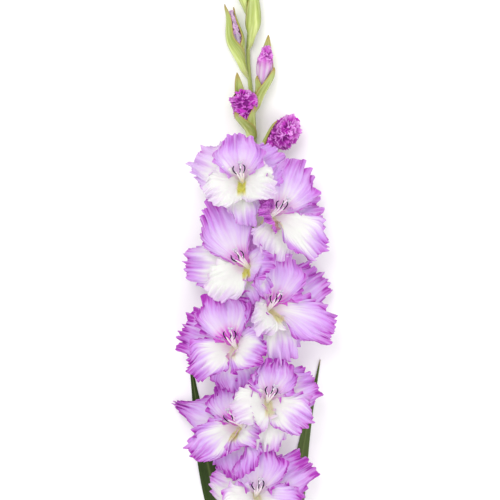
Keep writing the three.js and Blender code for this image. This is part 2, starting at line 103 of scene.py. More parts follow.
# The open florets from the top one down: where the middle of the throat's rim is, how many degrees it
# looks to the right and up the spike and is turned about its axis, how far each petal reaches from the
# axis, how broad it is for its reach, and how far its lilac comes in from its rim, from 0 to 1. Above 1
# the petal is magenta.
FLORETS = [
    ((-9, 157, 44), (-5, 14, 5), (44, 41, 42, 50, 53, 50), (1.15, 1.15, 1.2, 0.95, 0.95, 0.7),
     (0.9, 0.1, 0.05, 0.5, 0.25, 0.3)),
    ((27, 120, 41), (30, 15, -20), (56, 60, 30, 52, 40, 52), (1.1, 1.1, 1, 1, 1, 0.9),
     (0.85, 0.4, 1.8, 0.95, 2.0, 0.2)),
    ((-5, 67, 44), (-20, 16, 27), (70, 38, 48, 42, 65, 44), (1.05, 1.2, 1.05, 1, 0.9, 0.9),
     (0.9, 0.85, 0.15, 1.5, 0.4, 0.45)),
    ((24, 22, 42), (24, 16, 2), (54, 66, 40, 68, 38, 60), (1.1, 1, 1.1, 1.05, 1, 0.9),
     (0.9, 0.8, 0.15, 0.9, 2.0, 0.3)),
    ((-18, -17, 44), (-16, 17, 12), (54, 46, 49, 48, 58, 52), (1.1, 1.2, 1.1, 1, 1, 1.05),
     (0.9, 0.5, 0.5, 0.9, 0.75, 0.6)),
    ((20, -75, 43), (8, 14, -8), (42, 48, 46, 53, 42, 55), (1.1, 1.1, 1.15, 0.95, 1, 0.85),
     (0.7, 0.3, 0.15, 0.4, 0.7, 0.25)),
    ((-13, -102, 38), (-28, 16, 13), (44, 40, 54, 30, 78, 57), (1.1, 1.1, 1, 1, 0.75, 1.1),
     (1.0, 0.3, 0.45, 0.9, 0.85, 0.6)),
    ((8, -174, 41), (8, 16, 2), (50, 50, 50, 66, 54, 52), (1.1, 1.05, 1.1, 0.85, 1, 1),
     (0.95, 0.85, 0.25, 0.85, 0.3, 0.5)),
]

# How strong the green in the throat of each floret, the magenta flush round it and the purple rim are.
TINTS = (
    (1.0, 0.35, 0.6), (0.5, 0.7, 0.85), (0.95, 1.1, 0.95), (0.65, 1.1, 0.95),
    (0.35, 1.5, 1.5), (0.55, 0.6, 1.4), (0.7, 1.3, 1.5), (0.5, 0.3, 1.35),
)

# How far a petal is pressed back where it lies under one of another floret: floret, petal, millimetres.
PRESSED = {(1, 0): 3, (1, 4): 10, (2, 0): 7, (4, 5): 9, (6, 0): 11, (6, 3): 8}

# The six petals: degrees round the floret's axis, whether it is in the front layer, height of its tip
# over the rim, degrees between its tip and the axis, half its greatest width.
PETALS = [
    (90, True, 28, 66, 26),
    (326, True, 17, 92, 22),
    (214, True, 17, 92, 22),
    (28, False, 14, 88, 27),
    (152, False, 14, 88, 27),
    (270, False, 9, 98, 25),
]

# The buds from the lowest up: the node that a bud's petals stand for, the height of its foot on the stem,
# its route, its radius, where it is widest and how far it closes at its tip, how much room its folds take
# in its bracts, the stretch of the route that the petals fill, and the way each bract faces, its half width
# and its length. Then, for a bud that opens: how many hollows its crumpled dome has, where the dome starts,
# how deep and how lumpy it is, and how pale the petals are below it and in it.
BUD_KEYS = "node foot route radius widest close crumple start end bracts hollows bare deep lumps pale".split()
BUDS = [dict(zip(BUD_KEYS, row)) for row in (
    ("bud_1_petals", 176, [(14, 189, 14), (29, 202, 21), (49, 217, 25)], 12.5, 0.78, 0.35, 0.14, 0.14, 1.0,
     [((0.5, 0.3, -0.8), 10, 0.86), ((-0.6, 0.9, 0.4), 8, 0.8)], 90, 0.45, 3.6, 0.95, (0, 0)),
    ("bud_2_petals", 196, [(1, 212, 14), (-5, 230, 20), (-10, 273, 21)], 12, 0.85, 0.6, 0.14, 0.16, 0.74,
     [((-0.75, 0, 0.7), 12, 0.52), ((0.8, 0, 0.6), 12, 0.54), ((-0.5, 0, -0.9), 9, 1.0)],
     90, 0.4, 3.6, 0.6, (0, 0)),
    ("bud_3_petals", 226, [(8, 244, 11), (14, 266, 15), (18, 313, 16)], 8.5, 0.65, 0.6, 0.08, 0.18, 0.86,
     [((0.85, 0, 0.55), 10, 0.62), ((-0.75, 0, 0.65), 9, 0.5), ((0.3, 0, -1), 9, 1.0)],
     50, 0.72, 2.0, 0.5, (0.95, 0.1)),
    ("bud_4_petals", 264, [(-8, 280, 10), (-15, 308, 13), (-22, 346, 13)], 7, 0.5, 0.7, 0.08, 0.2, 0.9,
     [((-0.8, 0, 0.34), 11, 1.0), ((0.9, 0, -0.4), 11, 0.95)], 50, 0.35, 1.4, 0.5, (1.0, 0.85)),
    (None, 296, [(2, 312, 11), (3, 334, 13), (4, 364, 12)], 6, 0.4, 0.75, 0, 0.15, 1.0,
     [((0.3, 0, 1), 12, 1.0), ((-0.3, 0, -1), 8, 0.9)]),
    (None, 330, [(-5, 345, 11), (-9, 366, 12), (-8, 398, 11)], 4.6, 0.4, 0.75, 0, 0.15, 1.0,
     [((-0.3, 0, 1), 10, 1.0), ((0.3, 0, -1), 7, 0.9)]),
    (None, 368, [(2, 382, 10), (3, 400, 10), (0, 432, 9)], 3.6, 0.4, 0.8, 0, 0.15, 1.0,
     [((0.3, 0, 1), 8, 1.0), ((-0.3, 0, -1), 6, 0.9)]),
)]
CLOSED_BRACTS = "bud_4_petals"  # the bud whose two bracts close round it below

BUD_SIDES = 96
BUD_STEPS = 100
DOME_START = 0.86  # where along a bud its end starts to round off

# Each draws its own numbers, so that one can change without the others.
PETAL_SEED = 900
STAMEN_SEED = 40
BUD_SEED = 70

SHEATH_CURL = 0.15
LEAF_CURL = 0.008
LEAF_TIP_HALF = 0.6
LEAF_VEINS = 15  # parallel veins across a leaf
LEAF_ROOM = 0.9  # between the stem's skin and the middle of a leaf that clasps it
# The left leaf's deeper green is partly its own colour and partly painted shade.
LEAVES = [
    dict(node="leaf_left", slot="leaf_dark_green", half=12, colour="leaf_dark", route=[
        (0, -320, 1.9), (-3, -290, 1.5), (-24, -225, 0.9), (-46, -140, 0.4), (-57, -80, 0.3),
        (-65, -26, 1.2),
    ]),
    dict(node="leaf_right", slot="leaf_olive", half=11, colour="leaf_olive", route=[
        (-2, -415, 4.2), (0, -380, 3.2), (20, -300, 1.5), (44, -205, 0.8), (59, -115, 0.3),
        (75, -33, 1.2),
    ]),
]

# The stage, in metres and watts: each lamp's place, size and power, and where the lamps point.
LAMPS = [((-0.8, 1.1, 2.4), 1.5, 28), ((1.3, -1.2, 2.1), 2.6, 25)]
LAMP_AIM = 0, 0.08, 0.02
SKY_STRENGTH = 0.92
BOARD_SIZE = 14
CAMERA_PLACE = 0, 0.084, 2.545
CAMERA_HEIGHT = 2.5  # over the florets
FRAME_LENGTH = 0.525  # how much of the spike fills the frame at that height
SENSOR_MM = 36


# Formulas


def linear(hex_colour):
    """An sRGB hex colour as linear red, green and blue."""
    shares = [int(hex_colour[i : i + 2], 16) / 255 for i in (1, 3, 5)]
    return tuple(c / 12.92 if c <= 0.04045 else ((c + 0.055) / 1.055) ** 2.4 for c in shares)


def smooth(low, high, value):
    share = np.clip((value - low) / (high - low), 0, 1)
    return share * share * (3 - 2 * share)


def mix(start, end, share):
    return start + (end - start) * share


def unit(vectors):
    vectors = np.asarray(vectors, float)
    return vectors / np.maximum(np.linalg.norm(vectors, axis=-1, keepdims=True), 1e-12)


def rolled(distance, curl):
    """Where a point of a flat strip goes when the strip is rolled up: sideways and forward."""
    curl = np.maximum(curl, 1e-6)
    return np.sin(distance * curl) / curl, (1 - np.cos(distance * curl)) / curl


def cubic(start, leave, arrive, end, u):
    """Points of the curve with two end points and two handles."""
    return start * (1 - u) ** 3 + 3 * leave * u * (1 - u) ** 2 + 3 * arrive * u**2 * (1 - u) + end * u**3


def lengths_along(path):
    """How far along a path each of its points is."""
    return np.concatenate([[0], np.cumsum(np.linalg.norm(np.diff(path, axis=0), axis=1))])


class Route:
    """A smooth curve through points, read by the share of its length."""

    def __init__(self, points, steps=40):
        points = np.array(points, float)
        ends = 2 * points[0] - points[1], 2 * points[-1] - points[-2]
        padded = np.vstack([ends[0], points, ends[1]])
        path = []
        for i in range(len(points) - 1):
            a, b, c, d = padded[i : i + 4]
            first, middle, last = (
                max(math.sqrt(np.linalg.norm(q - p)), 1e-3) for p, q in ((a, b), (b, c), (c, d))
            )
            leave = ((b - a) / first - (c - a) / (first + middle) + (c - b) / middle) * middle
            arrive = ((c - b) / middle - (d - b) / (middle + last) + (d - c) / last) * middle
            u = np.linspace(0, 1, steps + 1)[:, None]
            curve = b + leave * u + (3 * (c - b) - 2 * leave - arrive) * u**2
            path.append((curve + (2 * (b - c) + leave + arrive) * u**3)[: steps + (i == len(points) - 2)])
        self.set_path(np.vstack(path))

    def set_path(self, path):
        self.path = path
        lengths = np.linalg.norm(np.diff(path, axis=0), axis=1)
        self.shares = np.concatenate([[0], np.cumsum(lengths)]) / lengths.sum()
        self.ways = ways = unit(np.gradient(path, self.shares, axis=0))
        side = np.cross(ways[0], (0.0, 0.0, 1.0) if abs(ways[0][2]) < 0.9 else (0.0, 1.0, 0.0))
        sides = [unit(side)]
        for way in ways[1:]:
            side = sides[-1] - way * np.dot(sides[-1], way)
            sides.append(unit(side))
        self.sides = np.array(sides)

    def read(self, values, share):
        share = np.clip(share, 0, 1)
        return np.stack([np.interp(share, self.shares, column) for column in values.T], -1)

    def at(self, share):
        return self.read(self.path, share)

    def way(self, share):
        return unit(self.read(self.ways, share))

    def side(self, share):
        return unit(self.read(self.sides, share))

    def stretch(self, start, end):
        return Route(self.at(np.linspace(start, end, 7)))


class Arc(Route):
    """A cubic curve with two end points and two handles."""

    def __init__(self, start, leave, arrive, end):
        self.set_path(cubic(start, leave, arrive, end, np.linspace(0, 1, 61)[:, None]))


# Meshes


def select_only(pieces):
    bpy.ops.object.select_all(action="DESELECT")
    for piece in pieces:
        piece.select_set(True)
    bpy.context.view_layer.objects.active = pieces[0]


def new_grid(columns, rows):
    """A flat grid of quads, with every other object left out of the selection."""
    bpy.ops.object.select_all(action="DESELECT")
    bpy.ops.mesh.primitive_grid_add(x_subdivisions=columns, y_subdivisions=rows, size=2)
    return bpy.context.object


def grid_shares(piece):
    """The place of each of a grid's vertices: s from 0 to 1 along it and t from -1 to 1 across it."""
    flat = np.empty(len(piece.data.vertices) * 3)
    piece.data.vertices.foreach_get("co", flat)
    flat = flat.reshape(-1, 3)
    return np.clip((flat[:, 1] + 1) / 2, 0, 1), np.clip(flat[:, 0], -1, 1)


def move_to(piece, points):
    piece.data.vertices.foreach_set("co", (np.asarray(points) * MM).astype(np.float32).ravel())
    piece.data.update()


def paint(piece, s, t, zones):
    """Keeps where a point is along and across its part in the UV map, and its zones as an attribute."""
    corners = np.empty(len(piece.data.loops), int)
    piece.data.loops.foreach_get("vertex_index", corners)
    places = np.stack([t[corners], s[corners]], -1)
    piece.data.uv_layers[0].data.foreach_set("uv", places.astype(np.float32).ravel())
    made = piece.data.color_attributes.new(name="zones", type="FLOAT_COLOR", domain="POINT")
    values = np.stack([np.broadcast_to(zone, s.shape) for zone in zones], -1)
    made.data.foreach_set("color", values.astype(np.float32).ravel())


def thicken(piece, thickness):
    """Gives a sheet its thickness, half on each side."""
    modifier = piece.modifiers.new("Thickness", "SOLIDIFY")
    modifier.thickness = thickness
    modifier.offset = 0
    bpy.context.view_layer.objects.active = piece
    bpy.ops.object.modifier_apply(modifier=modifier.name)


def weld(piece):
    """Joins the two long edges of a grid that was bent round into a tube."""
    select_only([piece])
    bpy.ops.object.mode_set(mode="EDIT")
    bpy.ops.mesh.select_all(action="SELECT")
    bpy.ops.mesh.remove_doubles(threshold=1e-6)
    bpy.ops.mesh.normals_make_consistent(inside=False)
    bpy.ops.object.mode_set(mode="OBJECT")


def new_sheet(surface, columns, rows, thickness, zones, material):
    """A thin sheet whose middle is surface(s, t)."""
    piece = new_grid(columns, rows)
    s, t = grid_shares(piece)
    move_to(piece, surface(s, t))
    paint(piece, s, t, zones(s, t))
    thicken(piece, thickness)
    piece.data.materials.append(material)
    return piece


def tube_shares(piece, steps):
    """For a grid that is bent round into a closed tube: each vertex's share along it, its turn round it, its
    place across the grid, and whether it is on the wall and not in the middle of an end."""
    s, t = grid_shares(piece)
    ring = np.round(s * (steps + 2))
    return np.clip((ring - 1) / steps, 0, 1), (t + 1) * math.pi, t, (ring > 0) & (ring < steps + 2)


def around(route, share, turn, out):
    """Points round a route, out from its middle."""
    side = route.side(share)
    up = np.cross(route.way(share), side)
    return route.at(share) + out[:, None] * (side * np.cos(turn)[:, None] + up * np.sin(turn)[:, None])


def close_tube(piece, points, s, t, zones, material):
    move_to(piece, points)
    paint(piece, s, t, zones)
    weld(piece)
    piece.data.materials.append(material)
    return piece


def new_rod(route, radius, sides, steps, zones, material):
    """A closed rod along a route. radius(s, turn) is its radius along it and round it."""
    piece = new_grid(sides, steps + 2)
    share, turn, t, wall = tube_shares(piece, steps)
    points = around(route, share, turn, np.where(wall, radius(share, turn), 0))
    return close_tube(piece, points, share, t, zones(share, t), material)


def join_parts(parts, name):
    """Makes one smooth-shaded piece of parts."""
    select_only(parts)
    bpy.ops.object.join()
    bpy.ops.object.shade_smooth()
    parts[0].name = parts[0].data.name = name
    return parts[0]


def hand_over(piece, node):
    """The piece rides with the spike and stands for its CAD node."""
    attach(piece, "root")
    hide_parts(node)


def plain_zones(s, t):
    return 0, 0, 0, 1


# Stem


def stem_radius(share):
    return mix(STEM_FOOT_RADIUS, STEM_TIP_RADIUS, smooth(*STEM_TAPER, share))


def stem_route():
    length = STEM_ROUTE[-1][1] - STEM_ROUTE[0][1]
    return Route([
        (x, y, under + stem_radius((y - STEM_ROUTE[0][1]) / length)) for x, y, under in STEM_ROUTE
    ])


STEM = stem_route()


def stem_at(y):
    """The point on the stem's middle at a height along the spike, and the stem's radius there."""
    share = np.interp(y, STEM.path[:, 1], STEM.shares)
    return STEM.at(share), float(stem_radius(share))


# Florets


def rotation(first, second, degrees):
    """A turn that carries one axis towards another."""
    made, angle = np.eye(3), math.radians(degrees)
    made[first, first] = made[second, second] = math.cos(angle)
    made[second, first] = math.sin(angle)
    made[first, second] = -math.sin(angle)
    return made


def turned(floret):
    """The turn of a floret as three columns: its right, its up the spike, and its axis."""
    yaw, pitch, roll = floret[1]
    return rotation(2, 0, yaw) @ rotation(1, 2, -pitch) @ rotation(0, 1, roll)


def placed(points, floret):
    return points @ turned(floret).T + np.array(floret[0])


def side_of(floret):
    point, _ = stem_at(floret[0][1])
    return 1 if floret[0][0] > point[0] else -1


def tube_route(floret):
    side = side_of(floret)
    foot, radius = stem_at(floret[0][1] - TUBE_DROP)
    clear = (radius + TUBE_RADIUS + GAP) * TUBE_SLANT
    axis = turned(floret)[:, 2]
    rim = np.array(floret[0], float)
    start = foot + np.array([side * clear, 0, clear])
    lower = start + np.array([side * 1.5, 18, 2])
    return Arc(start, lower, rim - axis * (THROAT_DEPTH + 8), rim - axis * (THROAT_DEPTH - 2))


def petal_middle(petal, reach, broad, s, along):
    """A petal's middle, without its frill: where it is out from the axis and up, the way it runs, its half
    width, and its span."""
    _, _, rise, lean, half = petal
    lean = math.radians(lean)
    half *= broad * min(max(reach / USUAL_REACH, 0.7), 1.1)
    root = np.array([THROAT_RADIUS - PETAL_ROOT_DEPTH * math.tan(THROAT_SLOPE), -PETAL_ROOT_DEPTH])
    tip = np.array([reach, rise])
    span = np.linalg.norm(tip - root)
    leave = root + span * ROOT_HANDLE * np.array([math.sin(THROAT_SLOPE), math.cos(THROAT_SLOPE)])
    arrive = tip - span * TIP_HANDLE * np.array([math.sin(lean), math.cos(lean)])
    u = along[:, None]
    centre = cubic(root, leave, arrive, tip, u)
    way = unit((leave - root) * (1 - u) ** 2 + 2 * (arrive - leave) * u * (1 - u) + (tip - arrive) * u**2)
    swell = np.sin(math.pi / 2 * np.minimum(1, s / PETAL_WIDEST))
    wide = mix(PETAL_ROOT_HALF, half, swell) * (1 - PETAL_NARROWING * smooth(0.6, 1, s))
    return centre, way, wide, span


def drawn_back(s, t):
    """A petal's sides end a little nearer to the throat than its middle does."""
    return s * (1 - 0.13 * np.abs(t) ** 2.4 * smooth(0.2, 1, s))


def rim_path(petal, reach, broad):
    """The right half of a petal's rim, from the middle of its end to where it leaves the throat: s and t of
    its points, and how far along the rim they are in millimetres."""
    corner = np.linspace(0, math.pi / 2, 40)
    side = np.linspace(1 - CORNER, RIM_START, 80)[1:]
    s = np.concatenate([np.ones(40), 1 - CORNER * (1 - np.cos(corner)), side])
    t = np.concatenate([np.linspace(0, 1 - CORNER, 40), 1 - CORNER + CORNER * np.sin(corner), np.ones(79)])
    centre, _, wide, _ = petal_middle(petal, reach, broad, s, drawn_back(s, t))
    return s, t, lengths_along(np.column_stack([centre, t * wide]))


def waves(place, length, swing, turned_by):
    """Uneven waves along a rim: their usual length, and how much the length wanders."""
    wander = swing * np.sin(place * 2 * math.pi / (2.7 * length) + turned_by)
    wander += 0.6 * swing * np.sin(place * 2 * math.pi / (4.3 * length) + 2.3 * turned_by)
    return place * 2 * math.pi / length + wander + 3.1 * turned_by


def lobes(place, length, swing, turned_by):
    """Round lobes with sharp notches between them, from 0 to 1."""
    return np.abs(np.sin(waves(place, 2 * length, swing, turned_by)))


def points_and_notches(rng, place, end):
    """A few pointed tips and small tears along a rim, in millimetres outwards."""
    sum_of = 0 * place
    for _ in range(5):
        middle = rng.uniform(-0.9, 0.9) * end
        tall, wide = rng.uniform(1.0, 6.0), rng.uniform(2.0, 5.5)
        sum_of += tall * np.exp(-np.abs((place - middle) / wide) ** 1.5)
    for _ in range(5):
        middle = rng.uniform(-0.95, 0.95) * end
        deep, wide = rng.uniform(1.0, 4.6), rng.uniform(0.8, 2.4)
        sum_of -= deep * np.exp(-np.abs((place - middle) / wide) ** 1.6)
    return sum_of


class PetalShape:
    """The points of one petal of one floret, in the floret's own frame."""

    def __init__(self, floret, number, order, row, column, sizes):
        _, _, reaches, broads, lilacs = floret
        self.green, self.blush, self.rim = TINTS[number]
        self.pressed = PRESSED.get((number, order), 0)
        self.petal = PETALS[order]
        self.phase = PETAL_PHASE * order + FLORET_PHASE * number
        self.lilac = lilacs[order]
        self.fan = column
        out = np.clip((row - FUNNEL_ROWS) / (1 - FUNNEL_ROWS), 0, 1)
        self.out = 1 - (1 - out) ** 1.25
        self.depth = np.clip(1 - row / FUNNEL_ROWS, 0, 1)
        rim_s, rim_t, rim_mm = rim_path(self.petal, reaches[order], broads[order])
        place = np.abs(column) * rim_mm[-1]
        self.rim_s = np.interp(place, rim_mm, rim_s)
        self.rim_t = np.interp(place, rim_mm, rim_t) * np.sign(column)
        self.rim_mm = column * rim_mm[-1]
        self.s = self.out * self.rim_s
        self.t = column + self.out * (self.rim_t - column)
        self.shape(reaches[order], broads[order], sizes)

    def shape(self, reach, broad, sizes):
        s, t, phase, out = self.s, self.t, self.phase, self.out
        angle, front = math.radians(self.petal[0]), self.petal[1]
        outward = np.array([math.cos(angle), math.sin(angle), 0])
        across = np.array([-math.sin(angle), math.cos(angle), 0])
        rng = np.random.default_rng(PETAL_SEED + 17 * round(100 * phase))
        loud = 0.6 + 0.4 * np.sin(self.rim_mm / 6.5 + 2 * phase + np.sin(self.rim_mm / 15 + phase))
        torn = points_and_notches(rng, self.rim_mm, np.abs(self.rim_mm).max())
        slant = self.rim_mm + 7 * (1 - out) * np.sin(6 * out + 4 * self.fan + 2 * phase)
        self.ruffle = np.sin(waves(slant, 9.5, 1.3, phase))
        self.ruffle += 0.45 * np.sin(waves(slant, 5.6, 0.9, 2 * phase))
        self.crimp = np.sin(waves(slant, 3.9, 1.1, 1.3 * phase))
        ragged = 1.9 * self.ruffle + 1.3 * lobes(self.rim_mm, 8.5, 1.1, phase) + 0.7 * self.crimp - 1.3
        if reach > POINTED_REACH:
            along_rim = self.rim_mm / np.abs(self.rim_mm).max()
            for corner in (-0.24, 0.3):
                torn += 5.5 * np.exp(-np.abs((along_rim - corner) / 0.07) ** 1.4)
        ragged = out**6 * loud * ragged + out**4 * torn
        centre, way, wide, span = petal_middle(self.petal, reach, broad, s, drawn_back(s, t))
        tapered = (0.6 if reach > TAPERED_REACH else 0) * smooth(0.5, 1, s)
        wide = wide * (1 - tapered)
        loud = loud * (1 - tapered)
        aim = unit(np.column_stack([(self.rim_s - 0.45) * span, self.rim_t * wide]))
        centre = centre + way * (ragged * aim[:, 0])[:, None]
        opened = smooth(0.05, 0.5 if front else 0.38, s)
        curl = mix(PETAL_ROOT_CURL, FRONT_CURL if front else BACK_CURL, opened)
        side, cup = rolled(t * wide + ragged * aim[:, 1], curl)
        margin = np.maximum(np.abs(t) ** 2 * smooth(0.15, 0.6, s), smooth(0.55, 1, s))
        frill = np.sin(FRILL_WAVES * np.arctan2(t * 1.1, s - 0.42) + phase)
        covered = smooth(0.3, 0.8, np.abs(t)) * (1 - (1 if front else 0.6) * smooth(0.65, 0.95, s))
        covered = covered * (0.2 if front else 0.75)
        lean_of = 0.3 if front else -0.3
        rise = sizes.frill_height / MM * margin * frill * (1 if front else 1 - covered)
        if not front:
            rise = rise - (4.0 + 0.25 * max(reach - 55, 0)) * covered
        rise += sizes.ruffle_height / MM * out**3.5 * loud * (self.ruffle + lean_of) * (1 - covered)
        rise += sizes.crimp_height / MM * out**9 * self.crimp * (1 - covered)
        pleats = 0.3 * np.sin(19 * self.fan + 2 * np.sin(5 * self.fan + phase)) * smooth(0.1, 0.4, out)
        crumple = 0.6 * np.sin(9 * s + 4 * t + phase) * np.sin(8 * t - 3 * s + 2 * phase)
        crumple = crumple * smooth(0.15, 0.5, s)
        gathered = max(self.lilac - 1, 0)
        folds = 2.2 * np.sin(24 * s + 5 * t + phase) * np.sin(15 * t - 7 * s) - 1.5
        crumple += gathered * folds * smooth(0.15, 0.4, s)
        rib = 0.3 * np.exp(-((t / 0.06) ** 2)) * smooth(0.1, 0.35, s) * (1 - smooth(0.75, 1, s))
        apart = mix(LAYER_AT_ROOT, LAYER_AT_THROAT, smooth(0, 0.25, s)) + LAYER_AT_MARGIN * margin
        lift = cup + rise + pleats + crumple - rib + (apart if front else -apart)
        lift -= self.pressed * smooth(0.2, 0.8, s)
        points = outward * (centre[:, 0] - way[:, 1] * lift)[:, None] + across * side[:, None]
        points[:, 2] = centre[:, 1] + way[:, 0] * lift
        drawn_in = (1 - smooth(0, 0.36, s))[:, None]
        points += drawn_in * ((0, THROAT_SHIFT, 0) - (THROAT_RADIUS - 1 - FUNNEL_MOUTH) * outward)
        self.points = np.where(self.depth[:, None] > 0, self.lining(angle, front), points)

    def lining(self, angle, front):
        """The part of the petal that lines the throat, which narrows and shifts towards the stamens."""
        depth = self.depth
        radius = mix(FUNNEL_MOUTH, FUNNEL_END, 1 - (1 - depth) ** 1.5)
        radius = radius + (-LAYER_AT_ROOT if front else LAYER_AT_ROOT)
        turn = angle + self.fan * mix(PETAL_ROOT_HALF / FUNNEL_MOUTH, 0.9, depth)
        height = -PETAL_ROOT_DEPTH - FUNNEL_DEPTH * depth**1.1
        shift = THROAT_SHIFT + 1.5 * smooth(0, 0.6, depth)
        return np.column_stack([radius * np.cos(turn), radius * np.sin(turn) + shift, height])

    def zones(self):
        """Shares of lilac, purple rim, throat green and magenta streaks over the petal. The rim and the
        magenta are painted deeper in the hollows of the ruffles and the crimp as painted shade, and the
        magenta petals take the lighter streak colour on the crests as painted highlight.
        """
        fan, out, phase = self.fan, self.out, self.phase
        uneven = 0.08 * np.sin(11 * fan + 3 * phase) + 0.05 * np.sin(27 * fan + 2 * phase)
        uneven += 0.05 * np.sin(self.rim_mm * 1.1 + 4 * phase)
        strength = min(self.lilac, 1)
        line = 1 - strength + 0.14 * np.sin(2.6 * fan + 5 * phase)
        lilac = smooth(line - 0.22, line + 0.26, out + uneven) * mix(0.4, 1, smooth(0.2, 0.8, out + uneven))
        lilac = lilac * mix(0.45, 1, smooth(0.1, 0.4, strength))
        # Painted shade: this is 1 in the hollows of the ruffles and the crimp, where the rim and the magenta
        # are painted deeper, and 0 on the crests, where the magenta petals get a painted highlight of the
        # lighter streak colour.
        valley_shade = smooth(1.0, -0.8, 0.7 * self.ruffle + 0.6 * self.crimp)
        band = mix(0.92, 0.7, strength)
        rim = smooth(band - 0.06 * self.ruffle, band + 0.2, out + 0.5 * uneven)
        rim = rim * mix(0.45, 1, valley_shade) * mix(0.35, 1, smooth(0.05, 0.35, strength))
        rim = self.rim * np.maximum(rim, 0.3 * valley_shade**1.5 * lilac * smooth(0.4, 0.85, out))
        magenta = max(self.lilac - 1, 0)
        rim = np.maximum(rim, magenta * (0.7 + 0.3 * valley_shade) * smooth(0.05, 0.3, out))
        x, y, z = self.points.T
        near = np.hypot(x, y - THROAT_SHIFT)
        above = math.sin(math.radians(self.petal[0])) > 0
        wedge = (1 - smooth(3.6, 5.4, np.abs(x))) * (1 - smooth(0, 3, y)) * (1 - smooth(15, 23, -y))
        throat = np.maximum(self.green * wedge * (0.5 if above else 1), 0.45 * smooth(7, 13, -z))
        lines = 0.7 + 0.3 * np.sin(34 * fan + 3 * np.sin(4 * fan))
        streak = (1 - smooth(8, 22 if above else 14, near)) * lines * (1 if above else 0.2)
        streak = np.clip(streak * self.blush, 0, 1) * (1 - 0.9 * wedge) + magenta * 0.35 * (1 - valley_shade)
        streak = streak + 0.45 * wedge * np.exp(-(((np.abs(x) - 2.6) / 0.5) ** 2))
        return lilac, rim, throat, streak


def new_petal(floret, number, order, sizes, material):
    piece = new_grid(PETAL_COLUMNS, PETAL_ROWS)
    row, column = grid_shares(piece)
    shape = PetalShape(floret, number, order, row, column, sizes)
    points = placed(shape.points, floret)
    points[:, 2] = np.maximum(points[:, 2], sizes.petal_thickness / MM)
    move_to(piece, points)
    paint(piece, shape.out, shape.fan, shape.zones())
    thicken(piece, sizes.petal_thickness)
    piece.data.materials.append(material)
    return piece


def throat_part(floret, material):
    """The outside of the trumpet, up to where its petals part, closed towards the petals that line it."""
    outline = np.array([
        (0, -THROAT_DEPTH), (3.0, -THROAT_DEPTH), (4.4, -19), (6.6, -11), (8.9, -4), (9.6, 0),
        (9.0, 1.2), (8.0, -2), (5.6, -9), (3.6, -15), (3.2, -20), (0, -20.5),
    ])
    lengths = lengths_along(outline)
    piece = new_grid(32, 30)
    s, t = grid_shares(piece)
    radius = np.interp(s * lengths[-1], lengths, outline[:, 0])
    height = np.interp(s * lengths[-1], lengths, outline[:, 1])
    turn = (t + 1) * math.pi
    shift = THROAT_SHIFT * smooth(-16, -4, height)
    points = placed(np.column_stack([radius * np.cos(turn), radius * np.sin(turn) + shift, height]), floret)
    pale = smooth(-24, -4, height)
    return close_tube(piece, points, s, t, (0.25 * pale, 0, mix(0.75, 0.15, pale), 0), material)


def tube_zones(s, t):
    """A floret's tube is greenest at its foot."""
    return 0.1, 0, 0.75 - 0.2 * s, 0


def new_floret(floret, number, sizes, material):
    parts = [new_petal(floret, number, order, sizes, material) for order in range(len(PETALS))]
    parts.append(throat_part(floret, material))
    parts.append(new_rod(tube_route(floret), lambda s, turn: TUBE_RADIUS, 20, 24, tube_zones, material))
    return join_parts(parts, f"floret_{number + 1}_bloom")


# Stamens


def new_stamens(floret, number, filament, anther, stigma):
    """Three stamens with long curved anthers, and the style with its three stigma lobes."""
    rng = np.random.default_rng(STAMEN_SEED + number)
    foot = THROAT_FLOOR - THROAT_DEPTH + 2 * GAP
    swing = rng.uniform(-0.22, 0.22)
    parts = []

    def rod(points, radius, sides, steps, material):
        points = np.array(points, float)
        twist = swing * smooth(-3, 12, points[:, 2])
        x, y = points[:, 0].copy(), points[:, 1].copy()
        points[:, 0] = x * np.cos(twist) - y * np.sin(twist)
        points[:, 1] = x * np.sin(twist) + y * np.cos(twist)
        parts.append(new_rod(Route(placed(points, floret)), radius, sides, steps, plain_zones, material))

    def pollen_sac(s, turn):
        ends = np.sin(math.pi * np.clip(0.02 + 0.96 * s, 0, 1)) ** 0.35
        return 0.95 * ends * (1 - 0.3 * np.cos(turn) ** 2)

    def lobe_radius(s, turn):
        return 0.55 + 0.85 * smooth(0, 1, s) * (1 - 0.5 * smooth(0.9, 1, s))

    rod([(0, 0, foot), (0, 1.2, foot + 5)], lambda s, turn: mix(1.4, 1.7, s), 14, 6, filament)
    for spread in (-1, 0, 1):
        sway = rng.uniform(-0.7, 0.7, 3)
        droop = abs(spread)
        fork = np.array([spread * 4.2, 7.8 - droop, 10]) + sway * 0.5
        stalk = [(spread * 0.6, 1.6, -15), (spread * 2.2, 4.2, -3), fork]
        rod(stalk, lambda s, turn: mix(1.05, 0.75, s), 10, 24, filament)
        outwards = spread if spread else 0.6
        low = fork + (-outwards * 0.4 + 0.5 * sway[0], -2.2, -1.0)
        belly = fork + (outwards * 2.0, 1.4, 2.0)
        bend = fork + (outwards * 2.2 + 0.4 * sway[1], 3.6, 4.0)
        top = fork + (outwards * 0.7 + 0.8 * sway[0], 5.4 + 0.8 * sway[1], 5.0)
        rod([low, belly, bend, top], pollen_sac, 12, 28, anther)
    style = [(0, 1.8, -15), (0.4, 6.2, -2), (1.6, 9.4, 11), (2.6, 12, 21)]
    rod(style, lambda s, turn: mix(0.85, 0.65, s), 10, 30, filament)
    for lobe in range(3):
        angle = 2.1 * lobe + 0.4
        way = np.array([math.cos(angle), math.sin(angle), 0])
        tip = np.array([2.8, 12.4, 22.6])
        rod([(2.6, 12, 20.6), tip + way * 1.1 - (0, 0, 0.6), tip + way * 3.0], lobe_radius, 10, 10, stigma)
    return join_parts(parts, f"floret_{number + 1}_anthers")


# Bracts


